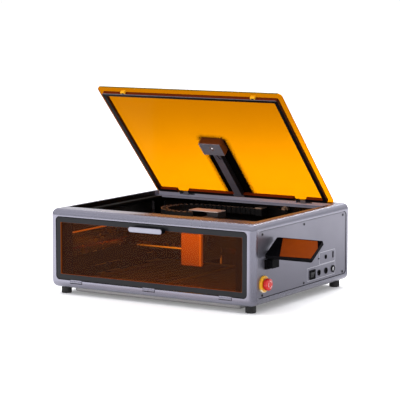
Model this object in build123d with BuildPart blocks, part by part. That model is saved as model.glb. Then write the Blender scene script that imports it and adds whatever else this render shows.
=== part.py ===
from build123d import *
import os
from math import cos, pi, radians, sin

# Enclosed desktop laser cutter. Millimetres, X right, Y back, Z up.
# Origin: centre of the base tray's underside. The rubber feet reach FOOT_DROP lower.

# ---- Driving dimensions ------------------------------------------------------------------
BODY_W = 567  # casing, left to right
BODY_D = 480  # casing, front to back
CASE_Z0 = 11  # casing's underside
CASE_TOP = 202  # casing's flat top rim
EDGE_R = 16  # rounding of every outer edge of the casing
FOOT_DROP = 6  # feet below the tray's underside

WALL = 12  # casing frame's thickness at the sides, front, back and top
FLOOR_WALL = 8  # casing frame's thickness underneath
GAP = 1.4  # seam between a panel and its opening

DOOR_W, DOOR_Z0, DOOR_Z1, DOOR_R = 530, 30.5, 184, 10
LID_W, LID_L, LID_T, LID_CORNER_R = 516, 399, 3, 12
LID_OPEN = 45.7  # lid's angle at rest, degrees above closed
HINGE_Y, HINGE_Z = 205.7, 202  # lid hinge axis
LID_HINGE_X = 170.5

PANEL_Y0, PANEL_Y1, PANEL_Z0, PANEL_Z1 = -224, 218, 28.5, 183.5
PANEL_T = 3
PANEL_SCREW_Y = (-200, 0, 200)
PANEL_SCREW_Z = (34.8, 175.4)
REAR_SCREW_X = (-240, -80, 80, 240)
SCREW_R, SCREW_HEAD_R, SCREW_DEPTH = 1.5, 3, 8  # depth of the pilot holes below the casing's face

RECESS_X, RECESS_Y0, RECESS_Y1, RECESS_DEPTH = 259.5, -194.5, 207, 12
MOUTH_X, MOUTH_Y0, MOUTH_Y1 = 241, -179, 192  # clear opening inside the recess

TRAY_W, TRAY_D, TRAY_T = 464, 420, 1.5
BED_W, BED_D, BED_Z0, BED_T = 430, 344, 20.5, 10
FOOT_X, FOOT_Y, FOOT_R = 257, 208, 12.5

RAIL_X, RAIL_Z, RAIL_H = 250, 94, 10  # Y rail's inner face, centre height
BEAM_Y0, BEAM_Y1, BEAM_Z0, BEAM_Z1, BEAM_X = 66, 106, 70, 150, 234
BELT_Z, PULLEY_R, BELT_T, BELT_W = 125, 6.4, 1.4, 6
SHAFT_Y, IDLER_Y, Y_PULLEY_X = 205, -200, 243
X_PULLEY_X, X_PULLEY_Z = 205, 118
BORE_R, PIN_CLEARANCE = 2.5, 0.05

HEAD_X0, HEAD_X1 = -38, 19  # laser head's shield, left and right
HEAD_Y0, HEAD_Z0, HEAD_Z1 = -35, 56, 134.7
CHAIN_Z0, CHAIN_H, CHAIN_W, CHAIN_PITCH = 158, 16, 16, 14
CHAIN_CX, CHAIN_CY, CHAIN_R = -105, 133, 75  # centre line of the chain's loop

DOOR_HINGE_Y, DOOR_HINGE_Z, KNUCKLE_R, DOOR_PIN_R = -238.5, 27.3, 3.2, 1.5
DOOR_HINGE_XS, DOOR_HINGE_HALF = (-207, 0, 208), 17.5  # half the length of each hinge's slot

# Controls on the right side, as Y and Z of their centres
STOP_Y, STOP_Z = -195, 60.7
DISPLAY_FOOT_Y, DISPLAY_FOOT_Z = -170, 108
ROCKER_Y, LOWER_ROW_Z = 43, 49
SOCKET_A_Y, SOCKET_B_Y = 77, 113
KEY_Y = 149
SLIM_PORT_Y, UPPER_ROW_Z = 77, 83
BUTTON_Y = 112
DATA_PORT_Y, DATA_PORT_Z = 149.5, 84

SIDE = BODY_W / 2
HALF_D = BODY_D / 2
PANEL_X = SIDE - 1.3  # outer face of the side panels
TOP_FLOOR = CASE_TOP - RECESS_DEPTH

os.makedirs("parts", exist_ok=True)


# ---- Helpers -----------------------------------------------------------------------------
def cut_window(plane, x0, x1, y0, y1, r, depth):
    """Cuts a rounded rectangle, depth deep against the plane's normal, into the open part."""
    with BuildSketch(plane) as outline:
        with Locations(((x0 + x1) / 2, (y0 + y1) / 2)):
            RectangleRounded(x1 - x0, y1 - y0, r)
    extrude(outline.sketch, amount=-depth, mode=Mode.SUBTRACT)


def add_block(plane, x0, x1, y0, y1, height, mode=Mode.ADD):
    """Adds a plain block to the open part: a rectangle raised along the plane's normal."""
    with BuildSketch(plane) as outline:
        with Locations(((x0 + x1) / 2, (y0 + y1) / 2)):
            Rectangle(x1 - x0, y1 - y0)
    extrude(outline.sketch, amount=height, mode=mode)


def add_rod(plane, x, y, r, height, mode=Mode.ADD):
    """Adds a round rod to the open part: a circle raised along the plane's normal."""
    with BuildSketch(plane) as outline:
        with Locations((x, y)):
            Circle(r)
    extrude(outline.sketch, amount=height, mode=mode)


def save(part, name):
    """Labels a finished piece and writes it."""
    part.label = name
    export_step(part, f"parts/{name}.step")


def front_plane(y):
    """XZ plane at depth y, facing the front: local x is X and local y is Z."""
    return Plane.XZ.offset(-y)


def side_plane(x):
    """YZ plane at x, facing right: local x is Y and local y is Z."""
    return Plane.YZ.offset(x)


# ---- Casing ------------------------------------------------------------------------------
with BuildPart() as shell:
    with BuildSketch(Plane.XY.offset(CASE_Z0)):
        Rectangle(BODY_W, BODY_D)
    extrude(amount=CASE_TOP - CASE_Z0)
    fillet(shell.edges(), radius=EDGE_R)
    add_block(
        Plane.XY.offset(CASE_Z0 + FLOOR_WALL), WALL - SIDE, SIDE - WALL, WALL - HALF_D,
        HALF_D - WALL, CASE_TOP - RECESS_DEPTH - CASE_Z0 - FLOOR_WALL, Mode.SUBTRACT,
    )
    # lid recess, tray opening, door opening
    cut_window(Plane.XY.offset(CASE_TOP), -RECESS_X, RECESS_X, RECESS_Y0, RECESS_Y1, 8, RECESS_DEPTH + 1)
    cut_window(Plane.XY.offset(CASE_Z0 + FLOOR_WALL), -233, 233, -211, 211, 6, FLOOR_WALL + 1)
    cut_window(front_plane(-HALF_D), -DOOR_W / 2, DOOR_W / 2, DOOR_Z0, DOOR_Z1, DOOR_R, WALL + 1)
    # side panel openings, stepped so that each panel sits on a flange
    for side in (-1, 1):
        face = Plane(origin=(side * SIDE, 0, 0), x_dir=(0, side, 0), z_dir=(side, 0, 0))
        y_lo, y_hi = sorted((side * PANEL_Y0, side * PANEL_Y1))
        cut_window(face, y_lo, y_hi, PANEL_Z0, PANEL_Z1, 12, 1.3 + PANEL_T)
        cut_window(face, y_lo + 10, y_hi - 10, PANEL_Z0 + 10, PANEL_Z1 - 10, 6, WALL + 1)
        for y in PANEL_SCREW_Y:
            for z in PANEL_SCREW_Z:
                add_rod(face, side * y, z, SCREW_R, -SCREW_DEPTH, Mode.SUBTRACT)
    # back panel opening
    back = Plane(origin=(0, HALF_D, 0), x_dir=(-1, 0, 0), z_dir=(0, 1, 0))
    cut_window(back, -265, 265, PANEL_Z0, PANEL_Z1, 12, 1.3 + PANEL_T)
    cut_window(back, -255, 255, PANEL_Z0 + 10, PANEL_Z1 - 10, 6, WALL + 1)
    for x in REAR_SCREW_X:
        for z in PANEL_SCREW_Z:
            add_rod(back, x, z, SCREW_R, -SCREW_DEPTH, Mode.SUBTRACT)
    # pockets for the lid hinges in the back rim
    for side in (-1, 1):
        add_block(
            Plane.XY.offset(CASE_TOP - 6.5), side * LID_HINGE_X - 23, side * LID_HINGE_X + 23,
            RECESS_Y1 - 9, RECESS_Y1 + 6, 7, Mode.SUBTRACT,
        )
    # slots for the door hinge knuckles in the lower lip
    for x in DOOR_HINGE_XS:
        add_block(
            Plane.XY.offset(DOOR_Z0 - 7.5), x - DOOR_HINGE_HALF, x + DOOR_HINGE_HALF, -HALF_D - 1,
            -HALF_D + 9, 8, Mode.SUBTRACT,
        )
save(shell.part, "shell")

for name, side in (("side_panel_left", -1), ("side_panel_right", 1)):
    inner = side_plane(side * (PANEL_X - PANEL_T) if side > 0 else -PANEL_X)
    with BuildPart() as panel:
        with BuildSketch(inner):
            with Locations(((PANEL_Y0 + PANEL_Y1) / 2, (PANEL_Z0 + PANEL_Z1) / 2)):
                RectangleRounded(
                    PANEL_Y1 - PANEL_Y0 - 2 * GAP, PANEL_Z1 - PANEL_Z0 - 2 * GAP, 12 - GAP
                )
        extrude(amount=PANEL_T)
        for y in PANEL_SCREW_Y:
            for z in PANEL_SCREW_Z:
                add_rod(inner, y, z, SCREW_R + 0.3, PANEL_T, Mode.SUBTRACT)
        if side > 0:
            # holes behind the stop button, the connectors, the switch, the lock and the button
            for y, z, r in (
                (STOP_Y, STOP_Z, 11), (SOCKET_A_Y, LOWER_ROW_Z, 6), (SOCKET_B_Y, LOWER_ROW_Z, 6),
                (KEY_Y, LOWER_ROW_Z, 7), (BUTTON_Y, UPPER_ROW_Z, 4),
                (DISPLAY_FOOT_Y - 14, DISPLAY_FOOT_Z, 2), (DISPLAY_FOOT_Y + 14, DISPLAY_FOOT_Z, 2),
            ):
                add_rod(inner, y, z, r, PANEL_T, Mode.SUBTRACT)
            for y, z, w, h in (
                (ROCKER_Y, LOWER_ROW_Z, 24, 20), (SLIM_PORT_Y, UPPER_ROW_Z, 8, 3),
                (DATA_PORT_Y, DATA_PORT_Z, 6, 16),
            ):
                add_block(inner, y - w / 2, y + w / 2, z - h / 2, z + h / 2, PANEL_T, Mode.SUBTRACT)
    save(panel.part, name)

DUCT_X, DUCT_Z, DUCT_R = 0, 64.5, 30
with BuildPart() as rear_panel:
    rear_inner = Plane(origin=(0, HALF_D - 4.3, 0), x_dir=(-1, 0, 0), z_dir=(0, 1, 0))
    with BuildSketch(rear_inner):
        with Locations((0, (PANEL_Z0 + PANEL_Z1) / 2)):
            RectangleRounded(530 - 2 * GAP, PANEL_Z1 - PANEL_Z0 - 2 * GAP, 12 - GAP)
    extrude(amount=PANEL_T)
    with BuildSketch(rear_inner):
        with Locations((DUCT_X, DUCT_Z)):
            Circle(DUCT_R - 2)
        for x in REAR_SCREW_X:
            for z in PANEL_SCREW_Z:
                with Locations((x, z)):
                    Circle(SCREW_R + 0.3)
    extrude(amount=PANEL_T, mode=Mode.SUBTRACT)
    with BuildSketch(rear_inner):
        for x in (-170, 170):
            with Locations((x, 117)):
                with GridLocations(12, 1, 9, 1):
                    SlotOverall(32, 5, rotation=90)
    extrude(amount=PANEL_T, mode=Mode.SUBTRACT)
save(rear_panel.part, "rear_panel")


def add_screw(plane, x, y, shank, drive=True):
    """Adds a pan-head screw: its head stands on the plane and its shank goes shank deep."""
    add_rod(plane, x, y, SCREW_HEAD_R, 1)
    add_rod(plane.offset(-shank), x, y, SCREW_R, shank)
    if drive:
        with BuildSketch(plane.offset(1)) as hex_key:
            with Locations((x, y)):
                RegularPolygon(1.3, 6)
        extrude(hex_key.sketch, amount=-0.8, mode=Mode.SUBTRACT)


POST_X, POST_W, POST_T, POST_FACE = 243, 30, 5, -227.5
POST_SCREW_X, POST_SCREW_Z = 234, (90, 126)

with BuildPart() as case_screws:
    for side in (-1, 1):
        face = Plane(origin=(side * PANEL_X, 0, 0), x_dir=(0, side, 0), z_dir=(side, 0, 0))
        for z in PANEL_SCREW_Z:
            for y in PANEL_SCREW_Y:
                add_screw(face, side * y, z, 6)
        for z in POST_SCREW_Z:
            add_rod(front_plane(POST_FACE), side * POST_SCREW_X, z, 2.6, 1.2)
    back = Plane(origin=(0, HALF_D - 1.3, 0), x_dir=(-1, 0, 0), z_dir=(0, 1, 0))
    for x in REAR_SCREW_X:
        for z in PANEL_SCREW_Z:
            add_screw(back, x, z, 6)
save(case_screws.part, "case_screws")

# Dark ledge inside the lid recess, under the shell's top wall
with BuildPart() as recess_frame:
    with BuildSketch(Plane.XY.offset(TOP_FLOOR - 3)):
        Rectangle(2 * (SIDE - WALL) - 0.6, 2 * (HALF_D - WALL) - 0.6)
    extrude(amount=3)
    cut_window(Plane.XY.offset(TOP_FLOOR), -MOUTH_X, MOUTH_X, MOUTH_Y0, MOUTH_Y1, 6, 3)
    # posts that carry its front corners, beside the door opening
    for x in (-POST_X, POST_X):
        add_block(
            Plane.XY.offset(CASE_Z0 + FLOOR_WALL + TRAY_T), x - POST_W / 2, x + POST_W / 2,
            POST_FACE, POST_FACE + POST_T, TOP_FLOOR - 3 - CASE_Z0 - FLOOR_WALL - TRAY_T,
        )
save(recess_frame.part, "recess_frame")

# Shallow tray that closes the casing underneath; its flange rests inside the casing
with BuildPart() as base_tray:
    with BuildSketch(Plane.XY):
        RectangleRounded(TRAY_W, TRAY_D, 8)
    extrude(amount=CASE_Z0 + FLOOR_WALL)
    fillet(base_tray.faces().sort_by(Axis.Z)[0].edges(), radius=3)
    with BuildSketch(Plane.XY.offset(CASE_Z0 + FLOOR_WALL)):
        RectangleRounded(TRAY_W + 24, TRAY_D + 10, 8)
    extrude(amount=TRAY_T)
    cut_window(
        Plane.XY.offset(CASE_Z0 + FLOOR_WALL + TRAY_T), -TRAY_W / 2 + TRAY_T, TRAY_W / 2 - TRAY_T,
        -TRAY_D / 2 + TRAY_T, TRAY_D / 2 - TRAY_T, 6.5, CASE_Z0 + FLOOR_WALL,
    )
    # two ribs that carry the bed
    for x in (-207, 207):
        add_block(Plane.XY.offset(TRAY_T), x - 5, x + 5, -165, 165, BED_Z0 - TRAY_T)
save(base_tray.part, "base_tray")

with BuildPart() as feet:
    with BuildSketch(Plane.XY.offset(-FOOT_DROP)):
        with GridLocations(2 * FOOT_X, 2 * FOOT_Y, 2, 2):
            Circle(FOOT_R)
    extrude(amount=CASE_Z0 + FOOT_DROP)
    chamfer(feet.faces().filter_by(Plane.XY).group_by(Axis.Z)[0].edges(), length=1.2)
save(feet.part, "feet")

# Slatted work bed, standing in the tray
with BuildPart() as work_bed:
    with BuildSketch(Plane.XY.offset(BED_Z0)):
        RectangleRounded(BED_W, BED_D, 6)
    extrude(amount=BED_T)
    with BuildSketch(Plane.XY.offset(BED_Z0)):
        with GridLocations(200, 20, 2, 15):
            SlotOverall(186, 14)
    extrude(amount=BED_T, mode=Mode.SUBTRACT)
save(work_bed.part, "work_bed")

# ---- Front door --------------------------------------------------------------------------
DOOR_FACE, DOOR_BACK = -239.2, -231.2
WINDOW_X, WINDOW_Z0, WINDOW_Z1 = 251.5, 45, 170
HANDLE_W, HANDLE_Z0, HANDLE_Z1, HANDLE_Y = 92, 163.6, 175.6, -256

with BuildPart() as door_frame:
    with BuildSketch(front_plane(DOOR_BACK)):
        with Locations((0, (DOOR_Z0 + DOOR_Z1) / 2)):
            RectangleRounded(DOOR_W - 2 * GAP, DOOR_Z1 - DOOR_Z0 - 2 * GAP, DOOR_R - GAP)
    extrude(amount=DOOR_BACK - DOOR_FACE)
    fillet(door_frame.faces().sort_by(Axis.Y)[0].edges(), radius=0.6)
    cut_window(front_plane(DOOR_FACE), -WINDOW_X, WINDOW_X, WINDOW_Z0, WINDOW_Z1, 3, 8)
    cut_window(
        front_plane(DOOR_FACE + 4.4), -WINDOW_X - 4.2, WINDOW_X + 4.2, WINDOW_Z0 - 4.2,
        WINDOW_Z1 + 4.2, 5, 3.2,
    )
save(door_frame.part, "door_frame")

with BuildPart() as door_window:
    with BuildSketch(front_plane(DOOR_FACE + 7.4)):
        with Locations((0, (WINDOW_Z0 + WINDOW_Z1) / 2)):
            RectangleRounded(2 * WINDOW_X + 8, WINDOW_Z1 - WINDOW_Z0 + 8, 4.8)
    extrude(amount=3)
save(door_window.part, "door_window")

with BuildPart() as door_handle:
    with BuildSketch(front_plane(DOOR_FACE)):
        with Locations((0, (HANDLE_Z0 + HANDLE_Z1) / 2)):
            SlotOverall(HANDLE_W, HANDLE_Z1 - HANDLE_Z0)
    extrude(amount=DOOR_FACE - HANDLE_Y - 2)
    # finger hollow under the pull
    with BuildSketch(Plane.XY.offset(HANDLE_Z0)) as hollow:
        with Locations((0, DOOR_FACE - 6)):
            SlotOverall(70, 8)
    extrude(hollow.sketch, amount=7, mode=Mode.SUBTRACT)
save(door_handle.part, "door_handle")

with BuildPart() as handle_plate:
    with BuildSketch(front_plane(HANDLE_Y + 2)):
        with Locations((0, (HANDLE_Z0 + HANDLE_Z1) / 2)):
            SlotOverall(HANDLE_W, HANDLE_Z1 - HANDLE_Z0)
    extrude(amount=2)
    fillet(handle_plate.faces().sort_by(Axis.Y)[0].edges(), radius=0.9)
save(handle_plate.part, "handle_plate")

with BuildPart() as door_knuckles:
    for x in DOOR_HINGE_XS:
        barrel = side_plane(x - 16.5)
        add_rod(barrel, DOOR_HINGE_Y, DOOR_HINGE_Z, KNUCKLE_R, 33)
        # leaf that reaches up to the door's lower edge
        add_block(barrel, DOOR_HINGE_Y - 1.5, DOOR_HINGE_Y + 1.5, DOOR_HINGE_Z, DOOR_Z0 + GAP, 33)
        add_rod(barrel, DOOR_HINGE_Y, DOOR_HINGE_Z, DOOR_PIN_R + PIN_CLEARANCE, 33, Mode.SUBTRACT)
save(door_knuckles.part, "door_knuckles")

# ---- Lid ---------------------------------------------------------------------------------
TILT = radians(LID_OPEN)
LID = Plane(origin=(0, HINGE_Y, HINGE_Z), x_dir=(1, 0, 0), z_dir=(0, sin(TILT), cos(TILT)))
LID_NORMAL = Axis((0, 0, 0), LID.z_dir)
# In the lid's plane local y is minus the distance from the hinge, and local z is 0 on top.
FRAME_X, FRAME_U0, FRAME_U1, FRAME_W, FRAME_DEPTH = 246, 11.5, 385, 9.5, 11.5
NOTCH_W = 34.5

with BuildPart() as lid_plate:
    with BuildSketch(LID.offset(-LID_T)):
        with Locations((0, -LID_L / 2)):
            RectangleRounded(LID_W, LID_L, LID_CORNER_R)
        # a notch round each hinge
        with GridLocations(2 * LID_HINGE_X, 1, 2, 1):
            Rectangle(46, 13, mode=Mode.SUBTRACT)
    extrude(amount=LID_T)
save(lid_plate.part, "lid_plate")

with BuildPart() as lid_gasket:
    with BuildSketch(LID.offset(-FRAME_DEPTH)):
        with Locations((0, -(FRAME_U0 + FRAME_U1) / 2)):
            RectangleRounded(2 * FRAME_X, FRAME_U1 - FRAME_U0, 6)
            RectangleRounded(
                2 * (FRAME_X - FRAME_W), FRAME_U1 - FRAME_U0 - 2 * FRAME_W, 3, mode=Mode.SUBTRACT
            )
        for side in (-1, 1):
            with Locations((side * LID_HINGE_X, -FRAME_U0 - FRAME_W / 2)):
                Rectangle(NOTCH_W, FRAME_W + 2, mode=Mode.SUBTRACT)
    extrude(amount=FRAME_DEPTH - LID_T)
    # magnet blocks in front of it
    for x in (-182, 182):
        add_block(LID.offset(-FRAME_DEPTH), x - 6, x + 6, -391, -386, FRAME_DEPTH - LID_T)
save(lid_gasket.part, "lid_gasket")

# Each lid hinge: a block on the casing's rim, and two barrels and a pin on the lid
with BuildPart() as lid_hinge_blocks:
    for side in (-1, 1):
        cheek = side_plane(side * LID_HINGE_X - 7.5)
        add_rod(cheek, HINGE_Y, HINGE_Z, 4.5, 15)
        add_block(cheek, HINGE_Y - 4.5, HINGE_Y + 7, CASE_TOP - 6.5, HINGE_Z, 15)
        add_rod(cheek, HINGE_Y, HINGE_Z, 2 + PIN_CLEARANCE, 15, Mode.SUBTRACT)
save(lid_hinge_blocks.part, "lid_hinge_blocks")

with BuildPart() as lid_hinge_barrels:
    for side in (-1, 1):
        for x in (side * LID_HINGE_X - 19, side * LID_HINGE_X + 8):
            barrel = side_plane(x)
            add_rod(barrel, HINGE_Y, HINGE_Z, 4.2, 11)
            # leaf under the plate, from the barrel to past the notch
            add_block(LID.offset(-LID_T - 2), x, x + 11, -10.9, 0, 2)
        # pin pressed into both barrels, turning in the block between them
        add_rod(side_plane(side * LID_HINGE_X - 19), HINGE_Y, HINGE_Z, 2, 38)
save(lid_hinge_barrels.part, "lid_hinge_barrels")

# Camera arm on the lid: a rib under the plate, a housing at its end, and the lens
with BuildPart() as camera_arm:
    with BuildSketch(LID.offset(-17)):
        with Locations((0, -103)):
            RectangleRounded(22, 162, 3)
    extrude(amount=14)
    fillet(camera_arm.faces().sort_by(LID_NORMAL)[0].edges(), radius=2)
save(camera_arm.part, "camera_arm")

with BuildPart() as camera_housing:
    with BuildSketch(LID.offset(-23.5)):
        with Locations((0, -206.5)):
            RectangleRounded(62, 43, 4)
    extrude(amount=20.5)
    fillet(camera_housing.faces().sort_by(LID_NORMAL)[0].edges(), radius=2.5)
    with BuildSketch(LID.offset(-23.5)) as lens_seat:
        with Locations((3, -211)):
            Circle(7)
    extrude(lens_seat.sketch, amount=4, mode=Mode.SUBTRACT)
save(camera_housing.part, "camera_housing")

with BuildPart() as camera_lens:
    with BuildSketch(LID.offset(-23)) as lens_face:
        with Locations((3, -211)):
            Circle(6.6)
    extrude(lens_face.sketch, amount=3.5)
save(camera_lens.part, "camera_lens")

# ---- Y drive -----------------------------------------------------------------------------
with BuildPart() as y_rails:
    for side in (-1, 1):
        x0, x1 = sorted((side * 260, side * 270))
        add_block(Plane.XY.offset(78), x0, x1, -HALF_D + WALL, HALF_D - WALL, 58)
        lo, hi = sorted((side * 262, side * 270.1))
        add_block(Plane.XY.offset(82), lo, hi, -HALF_D + WALL + 8, HALF_D - WALL - 8, 50, Mode.SUBTRACT)
        for y, r in ((IDLER_Y, BORE_R), (SHAFT_Y, BORE_R + PIN_CLEARANCE)):
            add_rod(side_plane(-271), y, BELT_Z, r, 542, Mode.SUBTRACT)
        # guide rail on the support's inner face
        x0, x1 = sorted((side * RAIL_X, side * 260))
        add_block(Plane.XY.offset(RAIL_Z - RAIL_H / 2), x0, x1, -210, 180, RAIL_H)
        lo, hi = sorted((side * (RAIL_X + 3), side * (RAIL_X + 5.5)))
        for z in (RAIL_Z - RAIL_H / 2, RAIL_Z + RAIL_H / 2 - 2):
            add_block(Plane.XY.offset(z), lo, hi, -210, 180, 2, Mode.SUBTRACT)
save(y_rails.part, "y_rails")


def belt_loop(plane, a0, a1, z):
    """Adds a closed belt with its two runs along the plane's local x, round two pulleys."""
    with BuildSketch(plane) as loop:
        with Locations(((a0 + a1) / 2, z)):
            SlotCenterToCenter(a1 - a0, 2 * (PULLEY_R + BELT_T))
            SlotCenterToCenter(a1 - a0, 2 * PULLEY_R, mode=Mode.SUBTRACT)
    extrude(loop.sketch, amount=BELT_W)


def toothed_pulley(plane, x, y, bore):
    """Adds a pulley with its flanges clear of the belt: teeth on a drum, and a bore."""
    with BuildSketch(plane) as drum:
        with Locations((x, y)):
            Circle(PULLEY_R - 0.1)
            with PolarLocations(PULLEY_R - 0.1, 20):
                Circle(0.45, mode=Mode.SUBTRACT)
            Circle(bore, mode=Mode.SUBTRACT)
    extrude(drum.sketch, amount=BELT_W)


with BuildPart() as y_belts:
    for x in (-Y_PULLEY_X - BELT_W / 2, Y_PULLEY_X - BELT_W / 2):
        belt_loop(side_plane(x), IDLER_Y, SHAFT_Y, BELT_Z)
save(y_belts.part, "y_belts")

with BuildPart() as y_idlers:
    for x in (-Y_PULLEY_X, Y_PULLEY_X):
        toothed_pulley(side_plane(x - BELT_W / 2), IDLER_Y, BELT_Z, BORE_R + PIN_CLEARANCE)
save(y_idlers.part, "y_idlers")

with BuildPart() as drive_shaft:
    for x in (-Y_PULLEY_X, Y_PULLEY_X):
        toothed_pulley(side_plane(x - BELT_W / 2), SHAFT_Y, BELT_Z, 1)
    add_rod(side_plane(-264), SHAFT_Y, BELT_Z, BORE_R, 528)
save(drive_shaft.part, "drive_shaft")

with BuildPart() as y_motor:
    with BuildSketch(side_plane(120)):
        with Locations((SHAFT_Y, BELT_Z)):
            RectangleRounded(42, 42, 5)
    extrude(amount=38)
    add_rod(side_plane(118), SHAFT_Y, BELT_Z, 11, 42)
    add_rod(side_plane(110), SHAFT_Y, BELT_Z, BORE_R + PIN_CLEARANCE, 60, Mode.SUBTRACT)
save(y_motor.part, "y_motor")

# ---- Gantry ------------------------------------------------------------------------------
with BuildPart() as gantry_beam:
    with BuildSketch(side_plane(-BEAM_X)):
        with Locations(((BEAM_Y0 + BEAM_Y1) / 2, (BEAM_Z0 + BEAM_Z1) / 2)):
            RectangleRounded(BEAM_Y1 - BEAM_Y0, BEAM_Z1 - BEAM_Z0, 3)
            RectangleRounded(BEAM_Y1 - BEAM_Y0 - 6, BEAM_Z1 - BEAM_Z0 - 6, 1.5, mode=Mode.SUBTRACT)
    extrude(amount=2 * BEAM_X)
    add_rod(front_plane(BEAM_Y1 + 1), X_PULLEY_X, X_PULLEY_Z, 4, 45, Mode.SUBTRACT)
    # stud for the belt's idler
    add_rod(front_plane(BEAM_Y1), -X_PULLEY_X, X_PULLEY_Z, BORE_R, BEAM_Y1 - 59.5)
save(gantry_beam.part, "gantry_beam")

with BuildPart() as gantry_cover:
    add_block(Plane.XY.offset(BEAM_Z1), -BEAM_X, BEAM_X, 60, 138, 1.5)
    add_block(Plane.XY.offset(134), -BEAM_X, BEAM_X, 136.5, 138, 16)
    fillet(gantry_cover.edges().filter_by(Axis.X).sort_by(Axis.Z)[-1], radius=1)
save(gantry_cover.part, "gantry_cover")

with BuildPart() as gantry_carriages:
    for side in (-1, 1):
        x0, x1 = sorted((side * BEAM_X, side * 257))
        add_block(Plane.XY.offset(82), x0, x1, 60, 130, 24)
        lo, hi = sorted((side * (RAIL_X - 0.3), side * 258))
        add_block(
            Plane.XY.offset(RAIL_Z - RAIL_H / 2 - 0.3), lo, hi, 59, 131, RAIL_H + 0.6, Mode.SUBTRACT
        )
        # clamp that grips the belt's lower run
        lo, hi = sorted((side * 240, side * 246))
        add_block(Plane.XY.offset(106), lo, hi, 80, 100, BELT_Z - PULLEY_R - BELT_T - 106 - 0.2)
save(gantry_carriages.part, "gantry_carriages")

with BuildPart() as x_rail:
    add_block(Plane.XY.offset(78), -BEAM_X + 4, BEAM_X - 4, 60, BEAM_Y0, 12)
    for z in (78, 88):
        add_block(Plane.XY.offset(z), -BEAM_X + 4, BEAM_X - 4, 62, 64, 2, Mode.SUBTRACT)
save(x_rail.part, "x_rail")

X_BELT_FRONT = front_plane(65.5)
with BuildPart() as x_belt:
    belt_loop(X_BELT_FRONT, -X_PULLEY_X, X_PULLEY_X, X_PULLEY_Z)
save(x_belt.part, "x_belt")

with BuildPart() as x_idler:
    toothed_pulley(X_BELT_FRONT, -X_PULLEY_X, X_PULLEY_Z, BORE_R + PIN_CLEARANCE)
save(x_idler.part, "x_idler")

with BuildPart() as x_drive_pulley:
    toothed_pulley(X_BELT_FRONT, X_PULLEY_X, X_PULLEY_Z, 1)
    add_rod(front_plane(120), X_PULLEY_X, X_PULLEY_Z, BORE_R, 60)
save(x_drive_pulley.part, "x_drive_pulley")

with BuildPart() as x_motor:
    with BuildSketch(front_plane(134)):
        with Locations((X_PULLEY_X, X_PULLEY_Z)):
            RectangleRounded(42, 42, 5)
    extrude(amount=28)
    add_rod(front_plane(120.5), X_PULLEY_X, X_PULLEY_Z, BORE_R + PIN_CLEARANCE, 20, Mode.SUBTRACT)
save(x_motor.part, "x_motor")

# ---- Laser head --------------------------------------------------------------------------
HEAD_MID = (HEAD_X0 + HEAD_X1) / 2
with BuildPart() as head_shield:
    with BuildSketch(front_plane(HEAD_Y0 + 9)):
        with Locations((HEAD_MID, (HEAD_Z0 + HEAD_Z1) / 2)):
            RectangleRounded(HEAD_X1 - HEAD_X0, HEAD_Z1 - HEAD_Z0, 2)
    extrude(amount=9)
    fillet(head_shield.faces().sort_by(Axis.Y)[0].edges(), radius=1.5)
    add_block(
        front_plane(HEAD_Y0 + 9), HEAD_X0 + 2.5, HEAD_X1 - 2.5, HEAD_Z0 - 1, HEAD_Z1 - 2.5, 6.5,
        Mode.SUBTRACT,
    )
save(head_shield.part, "head_shield")

FAN_Y, FAN_Z, FAN_R = 12, 108, 17
with BuildPart() as head_body:
    add_block(front_plane(55.9), HEAD_X0 + 1, HEAD_X1 - 1, HEAD_Z0 + 10, 148, 55.9 - HEAD_Y0 - 9)
    fillet(head_body.edges().filter_by(Axis.Y), radius=3)
    # fan bay in the right side
    add_rod(side_plane(HEAD_X1 - 1), FAN_Y, FAN_Z, FAN_R + 1, -10, Mode.SUBTRACT)
    # cooling ribs across the left side
    for i in range(8):
        add_block(side_plane(HEAD_X0 + 1), -18 + 9 * i, -14 + 9 * i, 74, 140, 4, Mode.SUBTRACT)
save(head_body.part, "head_body")

with BuildPart() as head_fan:
    add_rod(side_plane(HEAD_X1 - 10), FAN_Y, FAN_Z, 6, 7)
    with BuildSketch(side_plane(HEAD_X1 - 9)) as blades:
        with Locations((FAN_Y, FAN_Z)):
            with PolarLocations(10.5, 7):
                Rectangle(11, 2.4, rotation=35)
    extrude(blades.sketch, amount=5)
    add_rod(side_plane(HEAD_X1 - 10), FAN_Y, FAN_Z, 1 + PIN_CLEARANCE, 7, Mode.SUBTRACT)
save(head_fan.part, "head_fan")

with BuildPart() as head_fan_guard:
    add_rod(side_plane(HEAD_X1 - 2.4), FAN_Y, FAN_Z, 3.4, 1.4)
    add_rod(side_plane(HEAD_X1 - 11), FAN_Y, FAN_Z, 1, 9)
    with BuildSketch(side_plane(HEAD_X1 - 2.4)) as rings:
        with Locations((FAN_Y, FAN_Z)):
            for r in (8, 12.5, 17.4):
                Circle(r)
                Circle(r - 1.2, mode=Mode.SUBTRACT)
            with PolarLocations(10, 4):
                Rectangle(15, 1.4)
    extrude(rings.sketch, amount=1.4)
save(head_fan_guard.part, "head_fan_guard")

with BuildPart() as head_nozzle:
    with BuildSketch(Plane.XY.offset(HEAD_Z0 + 10)):
        with Locations((HEAD_MID, 14)):
            Circle(13)
    extrude(amount=-8)
    with BuildSketch(Plane.XY.offset(HEAD_Z0 + 2)):
        with Locations((HEAD_MID, 14)):
            Circle(9)
    extrude(amount=-10, taper=18)
    with Locations((HEAD_MID, 14, HEAD_Z0 - 8)):
        Hole(radius=2, depth=30)
save(head_nozzle.part, "head_nozzle")

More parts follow.
